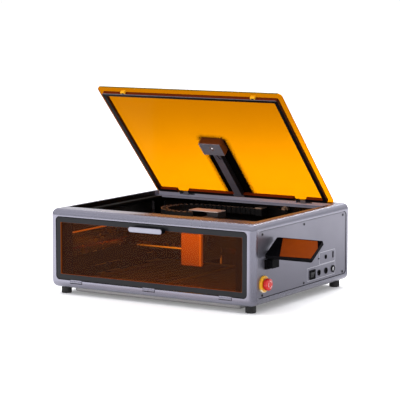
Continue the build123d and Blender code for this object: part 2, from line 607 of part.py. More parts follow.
# Bracket that hangs the head in front of the beam and reaches back over its cover
TOP_PLATE_X0, TOP_PLATE_X1, TOP_PLATE_Y0, TOP_PLATE_Y1 = -96, -10, 92, 133
with BuildPart() as head_carriage:
    add_block(front_plane(59.4), HEAD_X0 - 7, HEAD_X1 + 1, 66, 162, 3.5)
    add_block(Plane.XY.offset(156), HEAD_X0 - 7, TOP_PLATE_X1, 56, TOP_PLATE_Y1, 6)
    add_block(Plane.XY.offset(162), -42, TOP_PLATE_X1, TOP_PLATE_Y0, TOP_PLATE_Y1, 10)
    fillet(head_carriage.edges().filter_by(Axis.Z), radius=1.2)
    # plate on top that takes the chain's moving end
    with BuildSketch(Plane.XY.offset(172)) as plate:
        with Locations(((TOP_PLATE_X0 + TOP_PLATE_X1) / 2, (TOP_PLATE_Y0 + TOP_PLATE_Y1) / 2)):
            RectangleRounded(TOP_PLATE_X1 - TOP_PLATE_X0, TOP_PLATE_Y1 - TOP_PLATE_Y0, 3)
            with GridLocations(70, 26, 2, 2):
                Circle(2, mode=Mode.SUBTRACT)
    extrude(plate.sketch, amount=2)
save(head_carriage.part, "head_carriage")

# ---- Drag chain --------------------------------------------------------------------------
RUN_LINKS = 10
TURN_START, TURN_SPLIT, TURN_END = 90, 225, 300  # degrees round the loop's centre
STEP = CHAIN_PITCH / CHAIN_R * 180 / pi


def chain_link(along, across):
    """Sketches one hollow link of the chain at the active locations."""
    RectangleRounded(along, across, 2.5)
    Rectangle(along - 5, across - 5, mode=Mode.SUBTRACT)


# Fixed run along the back wall, with the anchor block at its right end and the cable's grommet
with BuildPart() as chain_rear_run:
    with BuildSketch(Plane.XY.offset(CHAIN_Z0)) as run:
        with Locations((CHAIN_CX + CHAIN_PITCH * RUN_LINKS / 2, CHAIN_CY + CHAIN_R)):
            with GridLocations(CHAIN_PITCH, 1, RUN_LINKS, 1):
                chain_link(CHAIN_PITCH - 1.2, CHAIN_W)
    extrude(run.sketch, amount=CHAIN_H)
    add_block(Plane.XY.offset(CHAIN_Z0 - 2), 36, 54, 199, 228, CHAIN_H + 5)
    add_rod(front_plane(228), 110, 174, 9, 10)
    add_rod(front_plane(218), 110, 174, 5, 6)
save(chain_rear_run.part, "chain_rear_run")

for name, first, last in (
    ("chain_turn", TURN_START, TURN_SPLIT), ("chain_front_run", TURN_SPLIT, TURN_END),
):
    count = round((last - first) / STEP)
    pitch = (last - first) / count
    with BuildPart() as chain_arc:
        with BuildSketch(Plane.XY.offset(CHAIN_Z0)) as arc:
            with Locations((CHAIN_CX, CHAIN_CY)):
                with PolarLocations(
                    CHAIN_R, count, start_angle=first + pitch / 2,
                    angular_range=last - first - pitch, endpoint=True,
                ):
                    chain_link(CHAIN_W, CHAIN_PITCH - 1.6)
        extrude(arc.sketch, amount=CHAIN_H)
    save(chain_arc.part, name)

# ---- Exhaust -----------------------------------------------------------------------------
BOX_X, BOX_Z0, BOX_Z1, BOX_Y = 62, 20.6, 97, 193.5
with BuildPart() as exhaust_housing:
    add_block(front_plane(227.5), -BOX_X, BOX_X, BOX_Z0, BOX_Z1, 227.5 - BOX_Y)
    fillet(exhaust_housing.edges().filter_by(Axis.Y), radius=4)
    add_block(
        front_plane(225.5), 3 - BOX_X, BOX_X - 3, BOX_Z0 + 3, BOX_Z1 - 3, 223.5 - BOX_Y,
        Mode.SUBTRACT,
    )
    add_rod(front_plane(228), DUCT_X, DUCT_Z, DUCT_R - 2, 4, Mode.SUBTRACT)
    for i in range(14):
        x = 8 * (i - 6.5)
        add_block(front_plane(BOX_Y + 3), x - 2.5, x + 2.5, 30, 88, 4, Mode.SUBTRACT)
    # axle of the fan, on a three-legged spider in the outlet
    add_rod(front_plane(227), DUCT_X, DUCT_Z, 2, 29)
    with BuildSketch(front_plane(227)) as spider:
        with Locations((DUCT_X, DUCT_Z)):
            with PolarLocations(14.5, 3):
                Rectangle(28.4, 3)
    extrude(spider.sketch, amount=1.4)
save(exhaust_housing.part, "exhaust_housing")

with BuildPart() as exhaust_rotor:
    add_rod(front_plane(222), DUCT_X, DUCT_Z, 10, 20)
    add_rod(front_plane(206), DUCT_X, DUCT_Z, 25, 1.5)
    with BuildSketch(front_plane(220)) as vanes:
        with Locations((DUCT_X, DUCT_Z)):
            with PolarLocations(17, 9):
                Rectangle(16, 3, rotation=40)
    extrude(vanes.sketch, amount=14.5)
    add_rod(front_plane(222), DUCT_X, DUCT_Z, 2 + PIN_CLEARANCE, 21, Mode.SUBTRACT)
save(exhaust_rotor.part, "exhaust_rotor")

with BuildPart() as exhaust_collar:
    add_rod(front_plane(HALF_D + 14), DUCT_X, DUCT_Z, DUCT_R, 15.3)
    add_rod(front_plane(HALF_D + 1.7), DUCT_X, DUCT_Z, DUCT_R + 5.5, 3)
    add_rod(front_plane(HALF_D + 15), DUCT_X, DUCT_Z, DUCT_R - 2, 20, Mode.SUBTRACT)
save(exhaust_collar.part, "exhaust_collar")

with BuildPart() as control_board:
    add_block(front_plane(224), 92, 212, 26, 92, 1.6)
    for x, z, w, h, t in ((120, 60, 22, 22, 3), (165, 72, 14, 10, 5), (190, 40, 20, 8, 8), (150, 38, 30, 6, 9)):
        add_block(front_plane(222.4), x - w / 2, x + w / 2, z - h / 2, z + h / 2, t)
    for x in (97, 207):
        for z in (31, 87):
            add_rod(front_plane(228), x, z, 2.5, 4)
save(control_board.part, "control_board")

# ---- Right side controls -----------------------------------------------------------------
COLLAR_R, CAP_NECK_R, CAP_R, STEM_R = 19.5, 11, 13.9, 7.2
with BuildPart() as stop_collar:
    add_rod(side_plane(PANEL_X), STOP_Y, STOP_Z, COLLAR_R, 5)
    fillet(stop_collar.faces().sort_by(Axis.X)[-1].edges(), radius=1.5)
    add_rod(side_plane(PANEL_X - 20), STOP_Y, STOP_Z, 10.8, 20)
    add_rod(side_plane(PANEL_X - 21), STOP_Y, STOP_Z, STEM_R + 0.3, 30, Mode.SUBTRACT)
    # well that the cap's neck sinks into
    add_rod(side_plane(PANEL_X + 1), STOP_Y, STOP_Z, CAP_NECK_R + 0.6, 5, Mode.SUBTRACT)
save(stop_collar.part, "stop_collar")

with BuildPart() as stop_stem:
    add_rod(side_plane(PANEL_X - 12), STOP_Y, STOP_Z, STEM_R, 17)
    add_rod(side_plane(PANEL_X + 5), STOP_Y, STOP_Z, 3, 9)
save(stop_stem.part, "stop_stem")

with BuildPart() as stop_cap:
    add_rod(side_plane(PANEL_X + 5.4), STOP_Y, STOP_Z, CAP_NECK_R, 4)
    add_rod(side_plane(PANEL_X + 9.4), STOP_Y, STOP_Z, CAP_R, 9)
    fillet(stop_cap.faces().sort_by(Axis.X)[-1].edges(), radius=3.5)
    add_rod(side_plane(PANEL_X + 5), STOP_Y, STOP_Z, 3 + PIN_CLEARANCE, 9.6, Mode.SUBTRACT)
save(stop_cap.part, "stop_cap")

with BuildPart() as power_bezel:
    with BuildSketch(side_plane(PANEL_X)):
        with Locations((ROCKER_Y, LOWER_ROW_Z)):
            RectangleRounded(28, 23, 2)
    extrude(amount=2)
    with BuildSketch(side_plane(PANEL_X - 9)):
        with Locations((ROCKER_Y, LOWER_ROW_Z)):
            Rectangle(23.6, 19.6)
    extrude(amount=9)
    with BuildSketch(side_plane(PANEL_X - 8)):
        with Locations((ROCKER_Y, LOWER_ROW_Z)):
            Rectangle(20, 16)
    extrude(amount=12, mode=Mode.SUBTRACT)
save(power_bezel.part, "power_bezel")

ROCKER_PIN_R = 1.15
with BuildPart() as power_rocker:
    with BuildSketch(front_plane(ROCKER_Y + 9.7)):
        with BuildLine():
            Polyline(
                (PANEL_X - 4, LOWER_ROW_Z - 6), (PANEL_X + 0.6, LOWER_ROW_Z - 6.4),
                (PANEL_X + 1.2, LOWER_ROW_Z), (PANEL_X + 2.7, LOWER_ROW_Z + 6.3),
                (PANEL_X - 4, LOWER_ROW_Z + 6), close=True,
            )
        make_face()
    extrude(amount=19.4)
    add_rod(
        front_plane(ROCKER_Y + 10), PANEL_X - 2, LOWER_ROW_Z, ROCKER_PIN_R + PIN_CLEARANCE, 20,
        Mode.SUBTRACT,
    )
save(power_rocker.part, "power_rocker")

# Pins fixed in the casing: the door's hinge pins, the belt idlers' pins, the rocker's pin
with BuildPart() as case_pins:
    for x in DOOR_HINGE_XS:
        add_rod(
            side_plane(x - DOOR_HINGE_HALF), DOOR_HINGE_Y, DOOR_HINGE_Z, DOOR_PIN_R, 2 * DOOR_HINGE_HALF
        )
    for x in (-264, 236):
        add_rod(side_plane(x), IDLER_Y, BELT_Z, BORE_R, 28)
    add_rod(front_plane(ROCKER_Y + 10), PANEL_X - 2, LOWER_ROW_Z, ROCKER_PIN_R, 20)
save(case_pins.part, "case_pins")

SOCKET_BORE_R = 4.2
# What is set into the panel: two round sockets, two data ports, the button's bezel, the lock
with BuildPart() as panel_ports:
    for y, r in ((SOCKET_A_Y, 7), (SOCKET_B_Y, 7.5)):
        add_rod(side_plane(PANEL_X), y, LOWER_ROW_Z, r, 1.5)
        add_rod(side_plane(PANEL_X - 9), y, LOWER_ROW_Z, 5.8, 9)
        add_rod(side_plane(PANEL_X - 7), y, LOWER_ROW_Z, SOCKET_BORE_R, 12, Mode.SUBTRACT)
    with BuildSketch(side_plane(PANEL_X - 7)) as slim_port:
        with Locations((SLIM_PORT_Y, UPPER_ROW_Z)):
            SlotOverall(8, 3)
            SlotOverall(7, 2.2, mode=Mode.SUBTRACT)
    extrude(slim_port.sketch, amount=7.3)
    for x, y, z, w, h, t, mode in (
        (PANEL_X - 7.6, SLIM_PORT_Y, UPPER_ROW_Z, 6, 3, 0.6, Mode.ADD),
        (PANEL_X - 8, DATA_PORT_Y, DATA_PORT_Z, 5.6, 15.6, 8.4, Mode.ADD),
        (PANEL_X - 7.4, DATA_PORT_Y, DATA_PORT_Z, 4.6, 14.4, 9, Mode.SUBTRACT),
        (PANEL_X - 7.4, DATA_PORT_Y - 0.9, DATA_PORT_Z, 1.6, 12, 7, Mode.ADD),
    ):
        add_block(side_plane(x), y - w / 2, y + w / 2, z - h / 2, z + h / 2, t, mode)
    add_rod(side_plane(PANEL_X), BUTTON_Y, UPPER_ROW_Z, 5.2, 1)
    add_rod(side_plane(PANEL_X - 6), BUTTON_Y, UPPER_ROW_Z, 3.9, 6)
    add_rod(side_plane(PANEL_X - 5), BUTTON_Y, UPPER_ROW_Z, 3.2, 10, Mode.SUBTRACT)
    add_rod(side_plane(PANEL_X), KEY_Y, LOWER_ROW_Z, 8.5, 2)
    add_rod(side_plane(PANEL_X - 18), KEY_Y, LOWER_ROW_Z, 6.8, 18)
    add_rod(side_plane(PANEL_X - 12), KEY_Y, LOWER_ROW_Z, 5 + PIN_CLEARANCE, 15, Mode.SUBTRACT)
save(panel_ports.part, "panel_ports")

with BuildPart() as key_lock_barrel:
    add_rod(side_plane(PANEL_X - 11.8), KEY_Y, LOWER_ROW_Z, 5, 13.4)
    add_block(
        side_plane(PANEL_X - 6), KEY_Y - 0.7, KEY_Y + 0.7, LOWER_ROW_Z - 3.6, LOWER_ROW_Z + 3.6, 8,
        Mode.SUBTRACT,
    )
save(key_lock_barrel.part, "key_lock_barrel")

with BuildPart() as start_button:
    add_rod(side_plane(PANEL_X - 3.2), BUTTON_Y, UPPER_ROW_Z, 3.1, 5.4)
    fillet(start_button.faces().sort_by(Axis.X)[-1].edges(), radius=0.6)
save(start_button.part, "start_button")

# ---- Tilting display ---------------------------------------------------------------------
DISPLAY_TILT, DISPLAY_W, DISPLAY_H, DISPLAY_T = 31, 119, 69, 9
DISPLAY_CX, DISPLAY_CY, DISPLAY_CZ = 347.5, -170.5, 144.75
slope = radians(DISPLAY_TILT)
FACE = Plane(
    origin=(DISPLAY_CX, DISPLAY_CY, DISPLAY_CZ), x_dir=(1, 0, 0), z_dir=(0, -sin(slope), cos(slope))
)
TILT_DROP = 20  # tilt axis below the display's face, along its normal
TILT_Y = DISPLAY_CY + TILT_DROP * sin(slope)
TILT_Z = DISPLAY_CZ - TILT_DROP * cos(slope)

with BuildPart() as display_housing:
    with BuildSketch(FACE.offset(-DISPLAY_T)):
        RectangleRounded(DISPLAY_W, DISPLAY_H, 4)
    extrude(amount=DISPLAY_T)
    fillet(display_housing.faces().sort_by(Axis((0, 0, 0), FACE.z_dir))[0].edges(), radius=2)
    with BuildSketch(FACE):
        RectangleRounded(DISPLAY_W - 3, DISPLAY_H - 3, 3)
    extrude(amount=-1.2, mode=Mode.SUBTRACT)
    # ear round the tilt pin
    ear = side_plane(300.4)
    add_rod(ear, TILT_Y, TILT_Z, 7.5, 8)
    add_block(FACE.offset(-TILT_DROP), 300.4 - DISPLAY_CX, 308.4 - DISPLAY_CX, -7.5, 7.5, TILT_DROP - DISPLAY_T + 1)
    add_rod(ear, TILT_Y, TILT_Z, 3 + PIN_CLEARANCE, 8, Mode.SUBTRACT)
save(display_housing.part, "display_housing")

with BuildPart() as display_screen:
    with BuildSketch(FACE.offset(-1.2)):
        RectangleRounded(DISPLAY_W - 3.2, DISPLAY_H - 3.2, 2.9)
    extrude(amount=1.2)
save(display_screen.part, "display_screen")

with BuildPart() as display_bracket:
    with BuildSketch(side_plane(PANEL_X)):
        with Locations((DISPLAY_FOOT_Y, DISPLAY_FOOT_Z)):
            RectangleRounded(40, 30, 3)
    extrude(amount=5)
    add_block(side_plane(PANEL_X), -184, TILT_Y + 7.5, 96, TILT_Z, 300 - PANEL_X)
    add_rod(side_plane(PANEL_X + 5), TILT_Y, TILT_Z, 7.5, 300 - PANEL_X - 5)
    # keep clear of the display's swing above the arm
    add_block(side_plane(PANEL_X - 1), -190, TILT_Y - 7.5, 116, 140, 30, Mode.SUBTRACT)
    add_rod(side_plane(PANEL_X), TILT_Y, TILT_Z, 3, 34)
save(display_bracket.part, "display_bracket")

with BuildPart() as display_knob:
    add_rod(side_plane(308.8), TILT_Y, TILT_Z, 8, 10)
    fillet(display_knob.faces().sort_by(Axis.X)[-1].edges(), radius=1.5)
    add_rod(side_plane(308.8), TILT_Y, TILT_Z, 3 + PIN_CLEARANCE, 8, Mode.SUBTRACT)
save(display_knob.part, "display_knob")
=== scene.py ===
import bpy
import bmesh
import math
from mathutils import Matrix, Vector


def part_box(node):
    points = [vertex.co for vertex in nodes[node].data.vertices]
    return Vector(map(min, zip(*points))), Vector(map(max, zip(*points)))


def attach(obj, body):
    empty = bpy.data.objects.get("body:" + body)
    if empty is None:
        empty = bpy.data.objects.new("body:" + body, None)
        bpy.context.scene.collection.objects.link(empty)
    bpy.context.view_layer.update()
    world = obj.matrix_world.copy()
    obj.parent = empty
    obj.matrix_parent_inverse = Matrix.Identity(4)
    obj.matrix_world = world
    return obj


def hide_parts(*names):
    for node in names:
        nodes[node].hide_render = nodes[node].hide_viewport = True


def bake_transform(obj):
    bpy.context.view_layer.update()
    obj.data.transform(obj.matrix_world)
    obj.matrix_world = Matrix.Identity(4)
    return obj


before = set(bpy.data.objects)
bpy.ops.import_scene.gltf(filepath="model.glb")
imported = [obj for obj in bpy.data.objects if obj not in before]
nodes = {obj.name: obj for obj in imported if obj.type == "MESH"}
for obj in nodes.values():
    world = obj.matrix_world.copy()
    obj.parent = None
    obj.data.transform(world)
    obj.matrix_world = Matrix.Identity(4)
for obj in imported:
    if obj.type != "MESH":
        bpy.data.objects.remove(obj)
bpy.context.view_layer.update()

# ---------------------------------------------------------------- material helpers


class Paint:
    """A node material in object coordinates: its pattern is sized in metres and rides with its piece."""

    def __init__(self, name, color, metallic=0.0, rough=0.5, ior=1.5, coat=0.0, coat_rough=0.05):
        self.mat = bpy.data.materials.new(name)
        self.mat.use_nodes = True
        self.nt = self.mat.node_tree
        self.nt.nodes.clear()
        self.out = self.add("ShaderNodeOutputMaterial")
        self.bsdf = self.add("ShaderNodeBsdfPrincipled")
        self.link(self.bsdf.outputs["BSDF"], self.out.inputs["Surface"])
        self.set("Base Color", (*color, 1.0))
        self.set("Metallic", metallic)
        self.set("Roughness", rough)
        self.set("IOR", ior)
        self.set("Coat Weight", coat)
        self.set("Coat Roughness", coat_rough)
        self.color = color
        self.rough = rough
        self.coord = self.add("ShaderNodeTexCoord")

    def add(self, kind, **props):
        node = self.nt.nodes.new(kind)
        for key, value in props.items():
            setattr(node, key, value)
        return node

    def link(self, a, b):
        self.nt.links.new(a, b)

    def set(self, socket, value):
        self.bsdf.inputs[socket].default_value = value

    def point(self, scale=(1, 1, 1), turn=(0, 0, 0)):
        m = self.add("ShaderNodeMapping")
        m.inputs["Scale"].default_value = scale
        m.inputs["Rotation"].default_value = turn
        self.link(self.coord.outputs["Object"], m.inputs["Vector"])
        return m.outputs["Vector"]

    def noise(self, scale, detail=3.0, rough=0.55, stretch=(1, 1, 1), turn=(0, 0, 0)):
        n = self.add("ShaderNodeTexNoise")
        n.inputs["Scale"].default_value = scale
        n.inputs["Detail"].default_value = detail
        n.inputs["Roughness"].default_value = rough
        self.link(self.point(stretch, turn), n.inputs["Vector"])
        return n.outputs["Fac"]

    def span(self, value, lo, hi, to_lo, to_hi):
        m = self.add("ShaderNodeMapRange")
        for key, v in (("From Min", lo), ("From Max", hi), ("To Min", to_lo), ("To Max", to_hi)):
            m.inputs[key].default_value = v
        self.link(value, m.inputs["Value"])
        return m.outputs["Result"]

    def math(self, op, a, b=None):
        m = self.add("ShaderNodeMath", operation=op)
        for i, v in enumerate((a, b)):
            if v is None:
                continue
            if isinstance(v, (int, float)):
                m.inputs[i].default_value = v
            else:
                self.link(v, m.inputs[i])
        return m.outputs["Value"]

    def along(self, direction, origin=(0, 0, 0)):
        """Distance along a direction from an origin, in metres."""
        sub = self.add("ShaderNodeVectorMath", operation="SUBTRACT")
        self.link(self.coord.outputs["Object"], sub.inputs[0])
        sub.inputs[1].default_value = origin
        dot = self.add("ShaderNodeVectorMath", operation="DOT_PRODUCT")
        self.link(sub.outputs["Vector"], dot.inputs[0])
        dot.inputs[1].default_value = direction
        return dot.outputs["Value"]

    def mix(self, fac, a, b):
        m = self.add("ShaderNodeMix", data_type="RGBA")
        self.link(fac, m.inputs[0])
        for i, v in ((6, a), (7, b)):
            if isinstance(v, tuple):
                m.inputs[i].default_value = (*v[:3], 1.0)
            else:
                self.link(v, m.inputs[i])
        return m.outputs[2]

    def bump(self, height, distance):
        """Adds a bump layer; distance is the height of a full step, in metres."""
        b = self.add("ShaderNodeBump")
        b.inputs["Distance"].default_value = distance
        self.link(height, b.inputs["Height"])
        if self.bsdf.inputs["Normal"].is_linked:
            self.link(self.bsdf.inputs["Normal"].links[0].from_socket, b.inputs["Normal"])
        self.link(b.outputs["Normal"], self.bsdf.inputs["Normal"])

    def tint(self, fac, other):
        """Mixes another colour into whatever colour the surface has."""
        socket = self.bsdf.inputs["Base Color"]
        now = socket.links[0].from_socket if socket.is_linked else tuple(socket.default_value)[:3]
        self.link(self.mix(fac, now, other), socket)

    def grain(self, scale, depth, color_var=0.12, rough_var=0.08, blotch=25.0, stretch=(1, 1, 1)):
        """Surface grain: a fine bump, and a slow change of colour and roughness."""
        fine = self.noise(scale, 4.0, 0.6, stretch)
        slow = self.noise(blotch, 3.0, 0.5)
        dark = tuple(c * (1 - color_var) for c in self.color)
        self.tint(self.span(fine, 0.35, 0.65, 0.0, 1.0), dark)
        lo, hi = max(self.rough - rough_var, 0.02), min(self.rough + rough_var, 1.0)
        self.link(self.span(slow, 0.3, 0.7, lo, hi), self.bsdf.inputs["Roughness"])
        if depth:
            self.bump(fine, depth)

    def within(self, lo, hi):
        """1 inside a box given by its two corners in metres, 0 outside; None leaves that side open."""
        sep = self.add("ShaderNodeSeparateXYZ")
        self.link(self.coord.outputs["Object"], sep.inputs[0])
        out = None
        for i in range(3):
            for op, limit in (("GREATER_THAN", lo[i]), ("LESS_THAN", hi[i])):
                if limit is None:
                    continue
                one = self.math(op, sep.outputs[i], limit)
                out = one if out is None else self.math("MULTIPLY", out, one)
        return out

    def within_span(self, value, lo, hi):
        return self.math("MULTIPLY", self.math("GREATER_THAN", value, lo), self.math("LESS_THAN", value, hi))

    def either(self, *masks):
        out = masks[0]
        for m in masks[1:]:
            out = self.math("MAXIMUM", out, m)
        return out

    def facing(self, direction, least):
        """1 where the surface of the piece faces a direction in its own axes."""
        dot = self.add("ShaderNodeVectorMath", operation="DOT_PRODUCT")
        self.link(self.coord.outputs["Normal"], dot.inputs[0])
        dot.inputs[1].default_value = direction
        return self.math("GREATER_THAN", dot.outputs["Value"], least)

    def glow(self, fac, color, strength=1.0, spill=False):
        """Lets part of the surface shine a little; without spill it lights nothing else."""
        if not spill:
            path = self.add("ShaderNodeLightPath")
            fac = self.math("MULTIPLY", fac, self.math("SUBTRACT", 1.0, path.outputs["Is Diffuse Ray"]))
            self.mat.cycles.emission_sampling = "NONE"
        self.link(self.mix(fac, (0.0, 0.0, 0.0), color), self.bsdf.inputs["Emission Color"])
        self.set("Emission Strength", strength)

    def clear(self, tint):
        """Clear coloured sheet: lamps pass through it tinted, and what is behind it is seen tinted."""
        self.set("Transmission Weight", 1.0)
        path = self.add("ShaderNodeLightPath")
        pane = self.add("ShaderNodeBsdfTransparent")
        pane.inputs["Color"].default_value = (*tint, 1.0)
        mixer = self.add("ShaderNodeMixShader")
        self.link(path.outputs["Is Shadow Ray"], mixer.inputs[0])
        self.link(self.bsdf.outputs["BSDF"], mixer.inputs[1])
        self.link(pane.outputs["BSDF"], mixer.inputs[2])
        self.link(mixer.outputs["Shader"], self.out.inputs["Surface"])


def wear(paint, amount, worn):
    """Faint handling marks: sparse fine scratches a little brighter than the surface."""
    lines = paint.noise(900.0, 2.0, 0.5, stretch=(1, 0.03, 0.6), turn=(0.3, 0.5, 0.8))
    patch = paint.noise(14.0, 2.0, 0.5)
    where = paint.span(patch, 0.5, 0.65, 0.0, amount)
    paint.tint(paint.math("MULTIPLY", paint.span(lines, 0.68, 0.74, 0.0, 1.0), where), worn)


# ---------------------------------------------------------------- materials
# the lid's plane: away from the hinge, and out of its upper face
LID_OPEN = math.radians(45.7)
LID_U = (0.0, -math.cos(LID_OPEN), math.sin(LID_OPEN))
LID_N = (0.0, math.sin(LID_OPEN), math.cos(LID_OPEN))
HINGE = (0.0, 0.2057, 0.202)
LENS_X, LENS_U = 0.003, 0.211
MAGNET_X = 0.182

# the stop button's axis, along X
STOP_Y, STOP_Z = -0.195, 0.0607

UNLIT = (0.010, 0.009, 0.009)
ALL = (None, None, None)
M = {}


def make(name, *args, **kw):
    M[name] = Paint(name, *args, **kw)
    return M[name]


def anodised(name):
    """Blue-grey anodised aluminium, as on the whole outside."""
    paint = make(name, (0.232, 0.228, 0.278), metallic=0.85, rough=0.25)
    paint.grain(3200.0, 0.000005, color_var=0.08, rough_var=0.04, blotch=9.0)
    return paint


def grey_coat(name, color):
    """Painted metal of the camera and its arm."""
    paint = make(name, color, metallic=0.35, rough=0.42)
    paint.grain(2600.0, 0.00001, color_var=0.15, rough_var=0.06, blotch=20.0)
    return paint


def bright_steel(name, drawn_out):
    """Ground steel; drawn_out stretches its fine lines along one axis."""
    paint = make(name, (0.52, 0.52, 0.54), metallic=1.0, rough=0.24)
    paint.grain(1500.0, 0.00001, color_var=0.15, rough_var=0.08, blotch=30.0, stretch=drawn_out)
    return paint


def satin_black(name):
    """Smooth black enamel with a low sheen."""
    paint = make(name, (0.012, 0.0125, 0.0150), rough=0.20, ior=1.25)
    paint.grain(1800.0, 0.000006, color_var=0.2, rough_var=0.05, blotch=12.0)
    return paint


def hazy(paint, scale, one, other, rough=0.5):
    """Lets the colour drift slowly between two values."""
    haze = paint.noise(scale, 2.0, rough)
    color = paint.mix(paint.span(haze, 0.3, 0.7, 0.0, 1.0), one, other)
    paint.link(color, paint.bsdf.inputs["Base Color"])


ALONG_X, ALONG_Y = (0.04, 1, 1), (1, 0.04, 1)

anodised("case_metal")

p = make("hinge_metal", (0.120, 0.118, 0.140), metallic=0.5, rough=0.50)
p.grain(3200.0, 0.000005, color_var=0.08, rough_var=0.04, blotch=9.0)

# casing: anodised outside; painted shade, near black, inside, in the lid's recess and in the seats of the
# panels and the door
LID_RECESS = ((-0.2603, -0.1953, None), (0.2603, 0.1915, 0.2017))
INSIDE = ((-0.2718, -0.2283, 0.0191), (0.2718, 0.2283, 0.1903))
RIGHT_SEAT = ((0.2785, -0.2245, 0.0280), (0.2829, 0.2185, 0.1840))
LEFT_SEAT = ((-0.2829, -0.2245, 0.0280), (-0.2785, 0.2185, 0.1840))
REAR_SEAT = ((-0.2655, 0.2350, 0.0280), (0.2655, 0.2394, 0.1840))
DOOR_SEAT = ((-0.2655, -0.2394, 0.0300), (0.2655, -0.2280, 0.1845))
REAR_WALL_OF_RECESS = ((-0.2595, 0.2060, 0.1905), (0.2595, 0.2085, 0.2015))
p = anodised("casing")
painted_shade_places = (LID_RECESS, INSIDE, RIGHT_SEAT, LEFT_SEAT, REAR_SEAT, DOOR_SEAT)
p.tint(p.either(*(p.within(*box) for box in painted_shade_places)), UNLIT)
# painted light: a faint blue-grey glow on the rear wall of the recess
p.glow(p.within(*REAR_WALL_OF_RECESS), (0.120, 0.120, 0.155))

# side and rear panels: painted shade, near black, on their inner faces, on their faces turned up or to the
# front, and in the seams round them
BEHIND_PANELS = ((-0.2800, None, None), (0.2800, 0.2364, None))
p = make("panel_metal", (0.200, 0.195, 0.238), metallic=0.75, rough=0.36)
p.grain(2600.0, 0.00001, color_var=0.10, rough_var=0.05, blotch=7.0)
p.tint(p.either(p.within(*BEHIND_PANELS), p.facing((0, 0, 1), 0.8), p.facing((0, -1, 0), 0.8)), UNLIT)

p = make("tray_metal", (0.33, 0.32, 0.32), metallic=0.7, rough=0.42)
p.grain(2200.0, 0.00003, color_var=0.12, rough_var=0.08, blotch=11.0)

p = make("dark_metal", (0.016, 0.016, 0.018), metallic=0.20, rough=0.45, ior=1.3)
p.grain(2400.0, 0.00001, color_var=0.12, rough_var=0.08, blotch=18.0)
wear(p, 0.04, (0.12, 0.12, 0.13))

p = grey_coat("arm_metal", (0.085, 0.085, 0.118))
p.tint(p.facing((1, 0, 0), 0.6), (0.010, 0.009, 0.011))

# camera housing: painted amber light from the lid on its sides
p = grey_coat("camera_case", (0.150, 0.148, 0.185))
p.tint(p.either(p.facing(LID_U, 0.6), p.facing((1, 0, 0), 0.6)), (0.090, 0.024, 0.006))

# lining of the lid's recess: dark, with the ledge under the hinges painted lighter and glowing faintly as
# painted light
HINGE_LEDGE = ((None, 0.1915, 0.1868), ALL)
p = make("recess", (0.004, 0.004, 0.004), rough=0.75, ior=1.12)
p.grain(2400.0, 0.00002, color_var=0.3, rough_var=0.1, blotch=18.0)
ledge = p.within(*HINGE_LEDGE)
p.tint(ledge, (0.050, 0.049, 0.060))
p.glow(ledge, (0.085, 0.085, 0.112))

# exhaust duct: dark sheet, with painted highlights, pale and faintly glowing, along the edges of its mouth
DUCT_EDGES = (
    ((None, None, 0.0942), (None, 0.1975, None)),
    (ALL, (-0.0592, 0.1975, None)),
    (ALL, (0.0, 0.1975, 0.0238)),
)
p = make("vent", (0.030, 0.029, 0.030), metallic=0.4, rough=0.40)
p.grain(2400.0, 0.00003, color_var=0.25, rough_var=0.08, blotch=18.0)
rim = p.either(*(p.within(*box) for box in DUCT_EDGES))
p.tint(rim, (0.70, 0.62, 0.52))
p.glow(p.math("MULTIPLY", rim, 0.7), (1.0, 0.70, 0.40))

p = make("bed", (0.040, 0.039, 0.041), metallic=0.6, rough=0.42)
p.grain(900.0, 0.00001, color_var=0.12, rough_var=0.1, blotch=14.0, stretch=(0.1, 1, 1))
soot = p.noise(16.0, 5.0, 0.6)
p.tint(p.span(soot, 0.52, 0.75, 0.0, 0.5), (0.020, 0.012, 0.007))

# head carriage: black, with a bare metal top plate
TOP_PLATE_Z = 0.17205
p = make("carriage", (0.022, 0.022, 0.025), metallic=0.25, rough=0.42)
p.grain(2400.0, 0.00001, color_var=0.12, rough_var=0.08, blotch=18.0)
p.tint(p.within((None, None, TOP_PLATE_Z), ALL), (0.40, 0.37, 0.38))

# gantry cover: folded sheet with fine lengthwise rolling lines
p = make("cover", (0.060, 0.047, 0.043), metallic=0.3, rough=0.45)
p.grain(1800.0, 0.00002, color_var=0.2, rough_var=0.08, blotch=16.0)
roll = p.noise(120.0, 1.0, 0.4, stretch=(0.01, 1, 1))
p.tint(p.span(roll, 0.52, 0.60, 0.0, 1.0), (0.170, 0.125, 0.108))

bright_steel("steel", ALONG_X)

# Y rails: painted amber light from the lid on the guides, and a painted highlight glowing on the left one's
# upper edge
Y_GUIDES = ((-0.2602, None, 0.0960), (0.2602, None, 0.0995))
LEFT_RAIL_EDGE = ((-0.2700, -0.1850, 0.1348), (-0.2590, -0.0150, 0.1370))
p = bright_steel("rail", ALONG_Y)
p.tint(p.within(*Y_GUIDES), (0.85, 0.34, 0.02))
p.glow(p.math("MULTIPLY", p.within(*LEFT_RAIL_EDGE), 0.8), (1.0, 0.55, 0.20))

# X rail: a painted highlight glowing along its front edge, brighter towards the head
X_RAIL_EDGE = ((-0.2300, None, 0.0782), (-0.0390, 0.0610, 0.0815))
p = bright_steel("x_rail", ALONG_X)
lit = p.math("MULTIPLY", p.within(*X_RAIL_EDGE), p.facing((0, -1, 0), 0.3))
p.glow(p.math("MULTIPLY", lit, p.span(p.along((1, 0, 0)), -0.23, -0.05, 0.15, 1.0)), (1.3, 1.0, 0.5), 1.8)

p = make("black_plastic", (0.0045, 0.0045, 0.0055), rough=0.46, ior=1.08)
p.grain(2600.0, 0.00003, color_var=0.25, rough_var=0.07, blotch=22.0)

# drag chain: a painted brown highlight on its upper edges
CHAIN_TOP_EDGE = 0.17385
p = make("chain", (0.006, 0.006, 0.0065), rough=0.45, ior=1.25)
p.grain(2600.0, 0.00004, color_var=0.25, rough_var=0.07, blotch=22.0)
p.tint(p.math("GREATER_THAN", p.along((0, 0, 1)), CHAIN_TOP_EDGE), (0.20, 0.135, 0.10))
